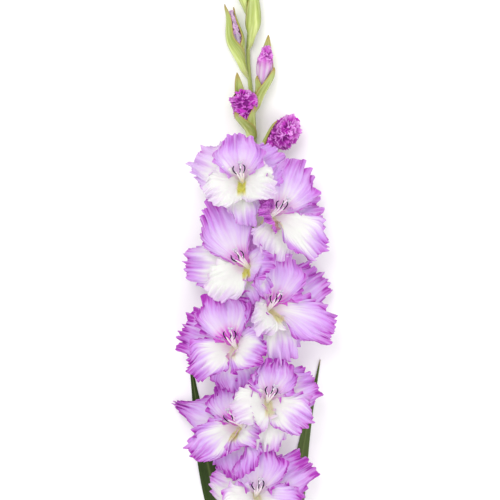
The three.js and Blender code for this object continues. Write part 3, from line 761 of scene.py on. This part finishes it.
def bract_surface(route, out, wrap, half):
    """A strip wrapped round a route at a distance, starting inside the stem and ending in a point."""

    def surface(s, t):
        way = route.way(s)
        facing = unit(np.asarray(out, float) - way * (way @ np.asarray(out, float))[:, None])
        across = np.cross(way, facing)
        radius = wrap(s)
        turn = t * half(s) / np.maximum(radius, 2.5)
        ripple = 0.12 * np.sin(t * 9) * smooth(0.1, 0.3, s)
        radius = radius + ripple + 0.5 * t**2 * smooth(0.5, 1, s)
        return (
            route.at(s)
            + facing * (radius * np.cos(turn))[:, None]
            + across * (radius * np.sin(turn))[:, None]
        )

    return surface


def lanceolate(half):
    """Half the width of a bract along its length: broad above its foot, narrowing to its point."""
    return lambda s: np.maximum(0.25, half * np.sin(math.pi * np.minimum(1, 0.16 + 0.84 * s)) ** 0.75)


def closed_below(half):
    """The same, but wide enough below its middle for two of them to close round their bud."""
    return lambda s: lanceolate(half)(s) * (1 + 0.45 * (1 - smooth(0.4, 0.62, s)))


def bract_zones(s, t):
    """Shares of dry margin and pale foot."""
    margin = smooth(0.8, 1, np.abs(t)) * smooth(0.1, 0.5, s) * 0.85
    tip = smooth(0.84, 1, s) * 0.8
    return 0, np.maximum(margin, tip), 1 - smooth(0, 0.3, s), 0


def floret_bracts(floret, sizes, material):
    side = side_of(floret)
    tube = tube_route(floret)
    u = np.array([0, 0.08, 0.16, 0.24])
    low = tube.at(u)
    foot, _ = stem_at(low[0][1] - 8)
    clear = TUBE_RADIUS + GAP + sizes.bract_thickness / MM / 2 + BRACT_PLAY

    def wrap(s):
        return mix(BRACT_FOOT, clear, smooth(0, 0.16, s))

    outer = Route([foot, *low, low[3] + (side * 6, 30, -1)])
    inner = Route([foot, *low, low[3] + (-side * 3, 17, -2)])
    return [
        new_sheet(bract_surface(route, out, wrap, lanceolate(half)), 10, 26, sizes.bract_thickness,
                  bract_zones, material)
        for route, out, half in ((outer, (side, 0, -0.3), 6.5), (inner, (-side, 0, 0.2), 5))
    ]


# Buds


def bud_route(bud):
    return Route([stem_at(bud["foot"])[0], *bud["route"]])


def bud_radius(bud, s):
    body = mix(1.6, bud["radius"], smooth(0.05, bud["widest"], s))
    return body * (1 - bud["close"] * smooth(bud["widest"], 1, s))


def closed_bud(bud, material):
    """A small green bud that shows no petals yet."""
    route = bud_route(bud).stretch(bud["start"], bud["end"])
    return new_rod(route, lambda s, turn: bud_radius(bud, s), 20, 30, lambda s, t: (0, 0, 0, 0), material)


def bud_bracts(bud, sizes, material):
    route = bud_route(bud)
    clear = GAP + sizes.bract_thickness / MM / 2 + BRACT_PLAY + bud["radius"] * bud["crumple"]
    made = []
    for order, (out, half, length) in enumerate(bud["bracts"]):
        over = OUTER_OVER_INNER if order == 0 else 0

        def wrap(s, over=over, length=length):
            share = np.clip((s * length - bud["start"]) / (bud["end"] - bud["start"]), 0, 1)
            distance = mix(BRACT_FOOT, bud_radius(bud, share) + clear, smooth(0, bud["start"], s * length))
            return distance + over * smooth(0.1, 0.4, s)

        outline = closed_below if bud["node"] == CLOSED_BRACTS else lanceolate
        surface = bract_surface(route.stretch(0, length), out, wrap, outline(half))
        made.append(new_sheet(surface, 14, 34, sizes.bract_thickness, bract_zones, material))
    return made


def bud_cells(points, seeds, rng):
    """Crumpled tissue: 0 on the sharp crests between its hollows and up to 1 in them, and a number from
    0 to 1 for each hollow."""
    warped = points + 0.9 * np.sin(points[:, [1, 2, 0]] * 1.3) + 0.5 * np.sin(points[:, [2, 0, 1]] * 2.9)
    centres = seeds + rng.normal(0, 0.4, seeds.shape)
    apart = np.linalg.norm(warped[:, None] - centres[None], axis=2)
    order = np.argsort(apart, axis=1)[:, :2]
    first, second = np.take_along_axis(apart, order, 1).T
    return smooth(0, 1.9, second - first), rng.uniform(0, 1, len(seeds))[order[:, 0]]


def new_bud(bud, number, material):
    """A bud whose rolled petals end in a tightly crumpled dome, painted lighter on its crests as painted
    highlight and darker in its hollows as painted shade.
    """
    route = bud_route(bud).stretch(bud["start"], bud["end"])
    rng = np.random.default_rng(BUD_SEED + number)
    piece = new_grid(BUD_SIDES, BUD_STEPS + 2)
    share, turn, t, wall = tube_shares(piece, BUD_STEPS)
    dome = np.sqrt(1 - np.clip((share - DOME_START) / (1 - DOME_START), 0, 1) ** 2)
    out = np.where(wall, bud_radius(bud, share) * dome, 0)
    seed_share = 1 - (1 - bud["bare"]) * rng.uniform(0, 1, bud["hollows"]) ** 0.8
    seed_turn = rng.uniform(0, 2 * math.pi, bud["hollows"])
    seeds = around(route, seed_share, seed_turn, bud_radius(bud, seed_share))
    hollow, tone = bud_cells(around(route, share, turn, np.maximum(out, 0.01)), seeds, rng)
    crumpled = smooth(bud["bare"] - 0.15, bud["bare"] + 0.1, share)
    pleats = 0.35 * np.sin(6 * turn + 3 * np.sin(5 * share)) * smooth(0.05, 0.3, share)
    lumps = np.sin(3 * turn + 2.4 * number + 4 * share) * np.sin(14 * share + 2 * turn + number)
    crests = (1 - hollow) ** 1.5 * (0.4 + 0.6 * tone) - 0.55 * hollow + 0.1
    height = crumpled * bud["deep"] * (crests + bud["lumps"] * lumps)
    ends = np.where(wall, np.maximum(out + height + pleats, 0.2), 0)
    beyond = route.way(share) * (height * smooth(0.8, 1, share))[:, None]
    # Painted highlight: the crests between the hollows are lighter.
    light = crumpled * (1 - hollow) ** 2.4 * smooth(0.1, 0.85, tone)
    below, above = bud["pale"]
    pale = mix(below, above, crumpled) * (0.8 + 0.2 * np.sin(9 * turn))
    # Painted shade: the hollows are darker.
    dark = crumpled * smooth(0.35, 0.95, hollow) * (0.25 + 0.75 * (1 - tone))
    zones = np.clip(light, 0, 1), dark, (1 - smooth(0, 0.3, share)) * 0.8, pale
    close_tube(piece, around(route, share, turn, ends) + beyond, share, t, zones, material)
    return join_parts([piece], f"bud_{number + 1}_ruffled")


# Leaves


def leaf_surface(leaf):
    route = Route(leaf["route"])

    def surface(s, t):
        half = leaf["half"] * mix(0.8, 1, smooth(0, 0.3, s)) * (1 - smooth(0.45, 1, s)) ** 0.8 + LEAF_TIP_HALF
        half = half * (1 - 0.9 * smooth(0.985, 1, s))
        curl = SHEATH_CURL * (1 - smooth(0.02, 0.22, s)) + LEAF_CURL
        way = route.way(s)
        across = unit(np.cross(way, (0.0, 0.0, 1.0)))
        normal = np.cross(across, way)
        side, lift = rolled(t * half, curl)
        lift = lift + 0.22 * np.cos(t * 5 * math.pi) * smooth(0.1, 0.3, s) * (1 - smooth(0.9, 1, s))
        lift = lift + 0.5 * np.exp(-((t / 0.1) ** 2)) * smooth(0.05, 0.3, s)
        points = route.at(s) + across * side[:, None] + normal * lift[:, None]
        return clear_of_stem(points, LEAF_ROOM)

    return surface


def clear_of_stem(points, room):
    """Moves points out of the stem, away from its middle."""
    share = np.interp(points[:, 1], STEM.path[:, 1], STEM.shares)
    middle = STEM.at(share)
    away = points - middle
    away[:, 1] = 0
    distance = np.linalg.norm(away, axis=1)
    least = stem_radius(share) + room
    push = np.where(distance < least, least / np.maximum(distance, 1e-3), 1)
    moved = middle + away * push[:, None]
    moved[:, 1] = points[:, 1]
    moved[:, 2] = np.maximum(moved[:, 2], TABLE_GAP)
    return moved


# Materials


def add_node(tree, kind, inputs=(), output=0, **settings):
    """Adds a shader node with its settings and links, and gives one of its outputs. inputs maps its sockets
    to numbers, colours or other nodes' outputs."""
    made = tree.nodes.new("ShaderNode" + kind)
    for name, value in settings.items():
        setattr(made, name, value)
    for name, value in dict(inputs).items():
        socket = made.inputs[name]
        if isinstance(value, bpy.types.NodeSocket):
            tree.links.new(value, socket)
        else:
            socket.default_value = (*value, 1.0) if socket.type == "RGBA" else value
    return made.outputs[output]


def new_material(name, **uniform):
    """A material, its node tree and its shader. What is uniform all over is set on the shader's sockets."""
    made = bpy.data.materials.new(name)
    made.use_nodes = True
    shader = made.node_tree.nodes["Principled BSDF"]
    for socket, value in uniform.items():
        shader.inputs[socket.replace("_", " ")].default_value = value
    return made, made.node_tree, shader


def layered(tree, colour, layers):
    """Lays colours over a first one. Each layer is its share, how strong that share is, and its colour."""
    for share, strength, over in layers:
        if strength != 1:
            share = add_node(tree, "Math", {0: share, 1: strength}, operation="MULTIPLY")
        colour = add_node(tree, "Mix", {0: share, 6: colour, 7: over}, 2, data_type="RGBA")
    return colour


def dress(tree, shader, colour, relief, strength, depth_mm):
    """Gives the shader its colour and a fine relief."""
    tree.links.new(colour, shader.inputs["Base Color"])
    bump = add_node(tree, "Bump", {"Strength": strength, "Distance": depth_mm * MM, "Height": relief})
    tree.links.new(bump, shader.inputs["Normal"])


def streaks(tree, across, along, detail=3.0, seed=0.0):
    """Uneven lines along a petal or a leaf, from 0 to 1: across and along are how many fit its map."""
    place = add_node(tree, "UVMap", uv_map="UVMap")
    spread = {"Vector": place, "Scale": (across, along, 1.0), "Location": (seed, seed, seed)}
    spread = add_node(tree, "Mapping", spread)
    noise = {"Vector": spread, "Scale": 1.0, "Detail": detail, "Roughness": 0.6}
    noise = add_node(tree, "TexNoise", noise)
    return add_node(tree, "MapRange", {"Value": noise, "From Min": 0.32, "From Max": 0.68})


def zones_of(tree):
    """The four shares that a piece's zones attribute holds."""
    whole = add_node(tree, "Attribute", output="Color", attribute_name="zones")
    parts = add_node(tree, "SeparateColor", {"Color": whole}).node.outputs
    return [*parts[:3], whole.node.outputs["Alpha"]]


def fresh_petal(colours):
    """Fresh petal tissue: thin and soft, so light passes a little way into it. It also gives off a painted
    glow in its own colour, which brightens it all over and lifts its shaded side. Fine veins run along it,
    the lilac fades out in streaks, and the frilled margin is a deeper purple, painted deeper still in its
    folds as painted shade."""
    # The emission is a painted glow: the petal's own colour is given off as light, which lifts its shade.
    material, tree, shader = new_material(
        "fresh_petal_veined", Roughness=0.5, IOR=1.42, Specular_IOR_Level=0.3, Subsurface_Weight=0.4,
        Subsurface_Radius=(1.0, 0.7, 1.0), Subsurface_Scale=0.0025, Emission_Strength=0.22,
    )
    lilac, rim, throat, streak = zones_of(tree)
    fine = streaks(tree, 40, 1.2)
    wander = add_node(tree, "Math", {0: fine, 1: 0.2, 2: -0.1}, operation="MULTIPLY_ADD")
    double = add_node(tree, "Math", {0: lilac, 1: 2.0}, operation="MULTIPLY")
    share = {0: wander, 1: double, 2: lilac}
    share = add_node(tree, "Math", share, operation="MULTIPLY_ADD", use_clamp=True)
    faint = add_node(tree, "Math", {0: fine, 1: 0.3}, operation="MULTIPLY")
    cloud = {0: streaks(tree, 2.4, 2.0, 3.0, 3.7), 1: 0.7, 2: faint}
    cloud = add_node(tree, "Math", cloud, operation="MULTIPLY_ADD")
    cool = streaks(tree, 1.3, 1.1, 1.0, 8.1)
    deep = [(cloud, 1, colours.petal_pale), (cool, 0.3, colours.petal_cool)]
    deep = layered(tree, colours.petal_lilac, deep)
    veins = add_node(tree, "Math", {0: streaks(tree, 26, 1.4, 2.0, 6.2), 1: 3.0}, operation="POWER")
    veins = add_node(tree, "Math", {0: veins, 1: lilac}, operation="MULTIPLY")
    lined = add_node(tree, "Math", {0: fine, 1: 1.3, 2: 0.3}, operation="MULTIPLY_ADD")
    lined = add_node(tree, "Math", {0: rim, 1: lined}, operation="MULTIPLY", use_clamp=True)
    # Painted shade: where the rim is strongest, in the hollows of the frill, it is painted darker still.
    fold_shade = add_node(tree, "Math", {0: lined, 1: 3.0}, operation="POWER")
    colour = layered(tree, colours.petal_white, [
        (share, 1, deep), (veins, 0.28, colours.petal_rim), (lined, 1, colours.petal_rim),
        (fold_shade, 0.5, colours.petal_fold_shade), (streak, 1, colours.throat_streak), (throat, 1, colours.throat),
    ])
    dress(tree, shader, colour, fine, 0.3, 0.4)
    # Painted glow in the petal's own colour.
    tree.links.new(colour, shader.inputs["Emission Color"])
    return material


def fresh_bud_petal(colours):
    """Young petal tissue, still rolled: a deep magenta, with painted highlight on the crests of its crumples
    and painted shade in their hollows, greenish at its foot.
    """
    material, tree, shader = new_material(
        "fresh_bud_petal", Roughness=0.5, IOR=1.42, Specular_IOR_Level=0.2, Subsurface_Weight=0.2,
        Subsurface_Radius=(1.0, 0.5, 1.0), Subsurface_Scale=0.001,
    )
    light, fold, foot, pale = zones_of(tree)
    fine = streaks(tree, 14, 2.0)
    faded = add_node(tree, "Math", {0: fine, 1: 0.3, 2: 0.7}, operation="MULTIPLY_ADD")
    whiter = {0: streaks(tree, 9, 2.0, 2.0, 4.4), 1: 0.6, 2: 0.4}
    whiter = add_node(tree, "Math", whiter, operation="MULTIPLY_ADD")
    # The crests take a painted highlight and the hollows painted shade.
    colour = layered(tree, colours.bud_magenta, [
        (fine, 1, colours.bud_bright), (light, 1, colours.bud_crest_highlight), (fold, 0.95, colours.bud_hollow_shade),
        (faded, pale, layered(tree, colours.petal_pale, [(whiter, 1, colours.petal_white)])),
        (foot, 0.5, colours.stem),
    ])
    dress(tree, shader, colour, fine, 0.3, 0.3)
    return material


def waxy_green(colours, name, across):
    """Green stem and bract skin: a thin wax layer gives it a soft shine. Parallel veins run along it, and
    the margins and tips of the bracts are dry and tan."""
    material, tree, shader = new_material(
        name, Roughness=0.42, IOR=1.45, Subsurface_Weight=0.1, Subsurface_Radius=(0.6, 1.0, 0.3),
        Subsurface_Scale=0.001,
    )
    _, dry, foot, _ = zones_of(tree)
    fine = streaks(tree, across, 2.5)
    broad = streaks(tree, across / 4, 1.5, 2.0, 1.3)
    lines = streaks(tree, across * 2.2, 0.8, 1.0, 5.3)
    colour = layered(tree, colours.stem, [
        (fine, 0.8, colours.stem_pale), (broad, 0.75, colours.stem_deep), (lines, 0.55, colours.stem_deep),
        (foot, 0.4, colours.bract_foot), (dry, 1, colours.bract_margin),
    ])
    dress(tree, shader, colour, fine, 0.4, 0.4)
    return material


def sword_leaf(name, base, vein, colours):
    """Tough leaf blade with a waxy skin: close parallel veins, and a paler middle rib."""
    material, tree, shader = new_material(name, Roughness=0.4, IOR=1.45, Specular_IOR_Level=0.3)
    rib, dry, _, _ = zones_of(tree)
    fine = streaks(tree, 18, 1.2, 2.0)
    across = add_node(tree, "SeparateXYZ", {"Vector": add_node(tree, "UVMap", uv_map="UVMap")})
    ridge = add_node(tree, "Math", {0: across, 1: LEAF_VEINS * math.pi}, operation="MULTIPLY")
    ridge = add_node(tree, "Math", {0: ridge}, operation="SINE")
    ridge = add_node(tree, "Math", {0: ridge, 1: 0.5, 2: 0.5}, operation="MULTIPLY_ADD")
    colour = layered(tree, base, [
        (fine, 0.45, vein), (ridge, 0.35, vein), (rib, 0.35, colours.leaf_rib),
        (dry, 1, colours.bract_margin),
    ])
    relief = add_node(tree, "Math", {0: fine, 1: 0.5}, operation="MULTIPLY")
    relief = add_node(tree, "Math", {0: ridge, 1: relief}, operation="ADD")
    dress(tree, shader, colour, relief, 0.5, 0.3)
    return material


def plain_tissue(name, colour, dark, roughness, grain_mm, painted_glow=0.0):
    """Soft plant tissue with a fine grain, for filaments, pollen sacs and stigmas. Its last number gives it
    a painted glow in its own colour.
    """
    material, tree, shader = new_material(
        name, Roughness=roughness, Specular_IOR_Level=0.2, Subsurface_Weight=0.1, Subsurface_Scale=0.0005,
        Emission_Color=(*colour, 1.0), Emission_Strength=painted_glow,
    )
    place = add_node(tree, "TexCoord", output="Object")
    grain = add_node(tree, "TexNoise", {"Vector": place, "Scale": 1 / (grain_mm * MM), "Detail": 2.0})
    grain = add_node(tree, "MapRange", {"Value": grain, "From Min": 0.35, "From Max": 0.65})
    dress(tree, shader, layered(tree, dark, [(grain, 1, colour)]), grain, 0.5, 0.1)
    return material


def matt_board(colour):
    """Matt white studio board: no gloss, with a barely visible mottle."""
    material, tree, shader = new_material("matt_board_white", Roughness=0.9, Specular_IOR_Level=0.1)
    place = add_node(tree, "TexCoord", output="Object")
    mottle = add_node(tree, "TexNoise", {"Vector": place, "Scale": 3.0, "Detail": 2.0})
    mottled = layered(tree, colour, [(mottle, 1, shaded(colour, 0.985))])
    tree.links.new(mottled, shader.inputs["Base Color"])
    return material


def shaded(colour, share):
    return [channel * share for channel in colour]


# Settings


def length_property(name, description, millimetres):
    return bpy.props.FloatProperty(
        name=name, description=description, default=millimetres * MM, min=0.0, soft_max=0.02, unit="LENGTH",
        precision=5,
    )


def colour_property(name, description, hex_colour):
    return bpy.props.FloatVectorProperty(
        name=name, description=description, default=linear(hex_colour), size=3, min=0.0, max=1.0,
        subtype="COLOR",
    )


class SpikeSizes(bpy.types.PropertyGroup):
    petal_thickness: length_property("Petal thickness", "Thickness of a petal", 0.5)
    frill_height: length_property("Frill height", "Height of the broad waves of a petal's margin", 3.0)
    ruffle_height: length_property("Ruffle height", "Height of the ruffles on those waves", 4.3)
    crimp_height: length_property("Crimp height", "Height of the fine crimp along the very edge", 1.7)
    bract_thickness: length_property("Bract thickness", "Thickness of a green bract", 0.8)
    leaf_thickness: length_property("Leaf thickness", "Thickness of a sword leaf", 0.9)


class SpikeColours(bpy.types.PropertyGroup):
    petal_white: colour_property("Petal white", "Middle of the lower petals", "#d0d1cc")
    petal_pale: colour_property("Petal pale lilac", "Lighter streaks of the lilac", "#c9b5d8")
    petal_lilac: colour_property("Petal lilac", "Body of the upper petals", "#b67ecc")
    petal_cool: colour_property("Petal cool lilac", "Bluer patches of the lilac", "#a588cf")
    petal_rim: colour_property("Petal rim", "Frilled margin", "#a630a8")
    # Painted shade in the folds of the frilled margin.
    petal_fold_shade: colour_property("Petal fold", "Folds of the margin", "#7c2488")
    throat: colour_property("Throat", "Inside of the throat", "#b8b548")
    throat_streak: colour_property("Throat streak", "Lines that lead into the throat", "#c64cc0")
    bud_magenta: colour_property("Bud magenta", "Rolled petals of the buds", "#b21cac")
    bud_bright: colour_property("Bud bright", "Lighter streaks of the buds", "#cc40c8")
    # Painted highlight on the crests of the buds' crumples, and painted shade in their hollows.
    bud_crest_highlight: colour_property("Bud edge", "Crimped edges of the buds", "#ecaaf0")
    bud_hollow_shade: colour_property("Bud fold", "Depth of the buds' folds", "#48084f")
    stem: colour_property("Stem green", "Stem and bracts", "#b2c257")
    stem_pale: colour_property("Stem pale green", "Veins of the stem and bracts", "#eaf2b2")
    stem_deep: colour_property("Stem deep green", "Shaded stretches of the stem and bracts", "#78892e")
    bract_foot: colour_property("Bract foot", "Foot of the bracts", "#dce3a8")
    bract_margin: colour_property("Bract margin", "Dry margins and tips", "#a98640")
    # Its deeper green is partly painted shade.
    leaf_dark: colour_property("Dark leaf", "Left leaf", "#22370a")
    leaf_olive: colour_property("Olive leaf", "Right leaf", "#475c28")
    leaf_dark_vein: colour_property("Dark leaf vein", "Parallel veins of the left leaf", "#3b5216")
    leaf_olive_vein: colour_property("Olive leaf vein", "Parallel veins of the right leaf", "#5f7638")
    leaf_rib: colour_property("Leaf rib", "Middle rib of the leaves", "#7f9150")
    anther: colour_property("Anther", "Pollen sacs", "#22113a")
    filament: colour_property("Filament", "Filaments and style", "#f6f0f6")
    board: colour_property("Board", "Studio board under the spike", "#fbfbfb")


def stem_zones(s, t):
    """The cut at the stem's foot is pale."""
    return 0, 0, 1 - smooth(0, 0.004, s), 0


def leaf_zones(s, t):
    """Shares of middle rib and dry tip."""
    return np.exp(-((t / 0.12) ** 2)), smooth(0.97, 1, s) * 0.7, 0, 0


class GLADIOLUS_OT_stem(bpy.types.Operator):
    """Makes the stem with the florets' bracts and the green tip buds"""

    bl_idname = "gladiolus.stem"
    bl_label = "Stem and bracts"
    bl_options = {"REGISTER", "UNDO"}

    def execute(self, context):
        sizes, colours = context.scene.spike_sizes, context.scene.spike_colours
        skin = waxy_green(colours, "waxy_stem_skin", 9)
        blade = waxy_green(colours, "waxy_bract_skin", 4)

        def ribbed(s, turn):
            return stem_radius(s) * (1 + RIB_HEIGHT * np.sin(STEM_RIBS * turn))

        parts = [new_rod(STEM, ribbed, 28, 200, stem_zones, skin)]
        for vertex in parts[0].data.vertices:  # the flat spot that it lies on
            vertex.co.z = max(vertex.co.z, 0)
        for floret in FLORETS:
            parts += floret_bracts(floret, sizes, blade)
        for bud in BUDS:
            parts += bud_bracts(bud, sizes, blade)
            if bud["node"] is None:
                parts.append(closed_bud(bud, blade))
        hand_over(join_parts(parts, "stem_and_bracts"), "stem_with_bracts")
        return {"FINISHED"}


class GLADIOLUS_OT_florets(bpy.types.Operator):
    """Makes the petals of the open florets"""

    bl_idname = "gladiolus.florets"
    bl_label = "Florets"
    bl_options = {"REGISTER", "UNDO"}

    def execute(self, context):
        material = fresh_petal(context.scene.spike_colours)
        for number, floret in enumerate(FLORETS):
            piece = new_floret(floret, number, context.scene.spike_sizes, material)
            hand_over(piece, f"floret_{number + 1}_petals")
        return {"FINISHED"}


class GLADIOLUS_OT_stamens(bpy.types.Operator):
    """Makes the stamens and the style of each open floret"""

    bl_idname = "gladiolus.stamens"
    bl_label = "Stamens"
    bl_options = {"REGISTER", "UNDO"}

    def execute(self, context):
        colours = context.scene.spike_colours
        pale, dark = colours.filament, colours.anther
        # The filaments get a painted glow of their own colour, which lifts them out of the throat's shade.
        filament = plain_tissue("fresh_filament", pale, shaded(pale, 0.88), 0.45, 0.8, 0.2)
        anther = plain_tissue("pollen_sac_violet", dark, shaded(dark, 0.45), 0.75, 0.35)
        stigma = plain_tissue("fresh_stigma", colours.petal_white, colours.petal_pale, 0.6, 0.5)
        for number, floret in enumerate(FLORETS):
            piece = new_stamens(floret, number, filament, anther, stigma)
            hand_over(piece, f"floret_{number + 1}_stamens")
        return {"FINISHED"}


class GLADIOLUS_OT_buds(bpy.types.Operator):
    """Makes the rolled petals of the opening buds"""

    bl_idname = "gladiolus.buds"
    bl_label = "Buds"
    bl_options = {"REGISTER", "UNDO"}

    def execute(self, context):
        material = fresh_bud_petal(context.scene.spike_colours)
        for number, bud in enumerate(BUDS):
            if bud["node"]:
                hand_over(new_bud(bud, number, material), bud["node"])
        return {"FINISHED"}


class GLADIOLUS_OT_leaves(bpy.types.Operator):
    """Makes the two sword leaves"""

    bl_idname = "gladiolus.leaves"
    bl_label = "Sword leaves"
    bl_options = {"REGISTER", "UNDO"}

    def execute(self, context):
        colours = context.scene.spike_colours
        for leaf in LEAVES:
            base = getattr(colours, leaf["colour"])
            vein = getattr(colours, leaf["colour"] + "_vein")
            material = sword_leaf("waxy_sword_" + leaf["colour"], base, vein, colours)
            thickness = context.scene.spike_sizes.leaf_thickness
            blade = new_sheet(leaf_surface(leaf), 20, 160, thickness, leaf_zones, material)
            hand_over(join_parts([blade], leaf["node"] + "_blade"), leaf["node"])
        return {"FINISHED"}


class GLADIOLUS_OT_stage(bpy.types.Operator):
    """Adds the board that the spike lies on, the lights and the camera"""

    bl_idname = "gladiolus.stage"
    bl_label = "Stage"
    bl_options = {"REGISTER", "UNDO"}

    def execute(self, context):
        bpy.ops.object.select_all(action="DESELECT")
        bpy.ops.mesh.primitive_plane_add(size=BOARD_SIZE, location=(0, 0, 0))
        board = bpy.context.object
        board.name = "studio_board"
        board.data.materials.append(matt_board(context.scene.spike_colours.board))
        for place, size, power in LAMPS:
            bpy.ops.object.light_add(type="AREA", location=place)
            lamp = bpy.context.object
            lamp.data.size = size
            lamp.data.energy = power
            way = np.array(LAMP_AIM) - place
            lamp.rotation_euler = (
                math.acos(-way[2] / np.linalg.norm(way)), 0, math.atan2(way[1], way[0]) - math.pi / 2
            )
        scene = context.scene
        scene.world = scene.world or bpy.data.worlds.new("World")
        scene.world.use_nodes = True
        sky = scene.world.node_tree.nodes["Background"]
        sky.inputs["Color"].default_value = (1, 1, 1, 1)
        sky.inputs["Strength"].default_value = SKY_STRENGTH
        scene.view_settings.view_transform = "Standard"
        bpy.ops.object.camera_add(location=CAMERA_PLACE, rotation=(0, 0, 0))
        camera = bpy.context.object
        camera.data.lens = SENSOR_MM * CAMERA_HEIGHT / FRAME_LENGTH
        scene.camera = camera
        return {"FINISHED"}


class GLADIOLUS_PT_panel(bpy.types.Panel):
    """Lists the pieces and the settings"""

    bl_label = "Gladiolus"
    bl_space_type = "VIEW_3D"
    bl_region_type = "UI"
    bl_category = "Gladiolus"

    def draw(self, context):
        for operator in OPERATORS:
            self.layout.operator(operator.bl_idname)
        for group in (context.scene.spike_sizes, context.scene.spike_colours):
            for name in group.__annotations__:
                self.layout.prop(group, name)


OPERATORS = (
    GLADIOLUS_OT_stem, GLADIOLUS_OT_florets, GLADIOLUS_OT_stamens, GLADIOLUS_OT_buds, GLADIOLUS_OT_leaves,
    GLADIOLUS_OT_stage,
)
CLASSES = (SpikeSizes, SpikeColours, *OPERATORS, GLADIOLUS_PT_panel)


def register():
    for made in CLASSES:
        bpy.utils.register_class(made)
    bpy.types.Scene.spike_sizes = bpy.props.PointerProperty(type=SpikeSizes)
    bpy.types.Scene.spike_colours = bpy.props.PointerProperty(type=SpikeColours)


def unregister():
    del bpy.types.Scene.spike_sizes
    del bpy.types.Scene.spike_colours
    for made in reversed(CLASSES):
        bpy.utils.unregister_class(made)


def main():
    register()
    bpy.ops.gladiolus.stem()
    bpy.ops.gladiolus.florets()
    bpy.ops.gladiolus.stamens()
    bpy.ops.gladiolus.buds()
    bpy.ops.gladiolus.leaves()
    bpy.ops.gladiolus.stage()


if __name__ == "__main__":
    main()
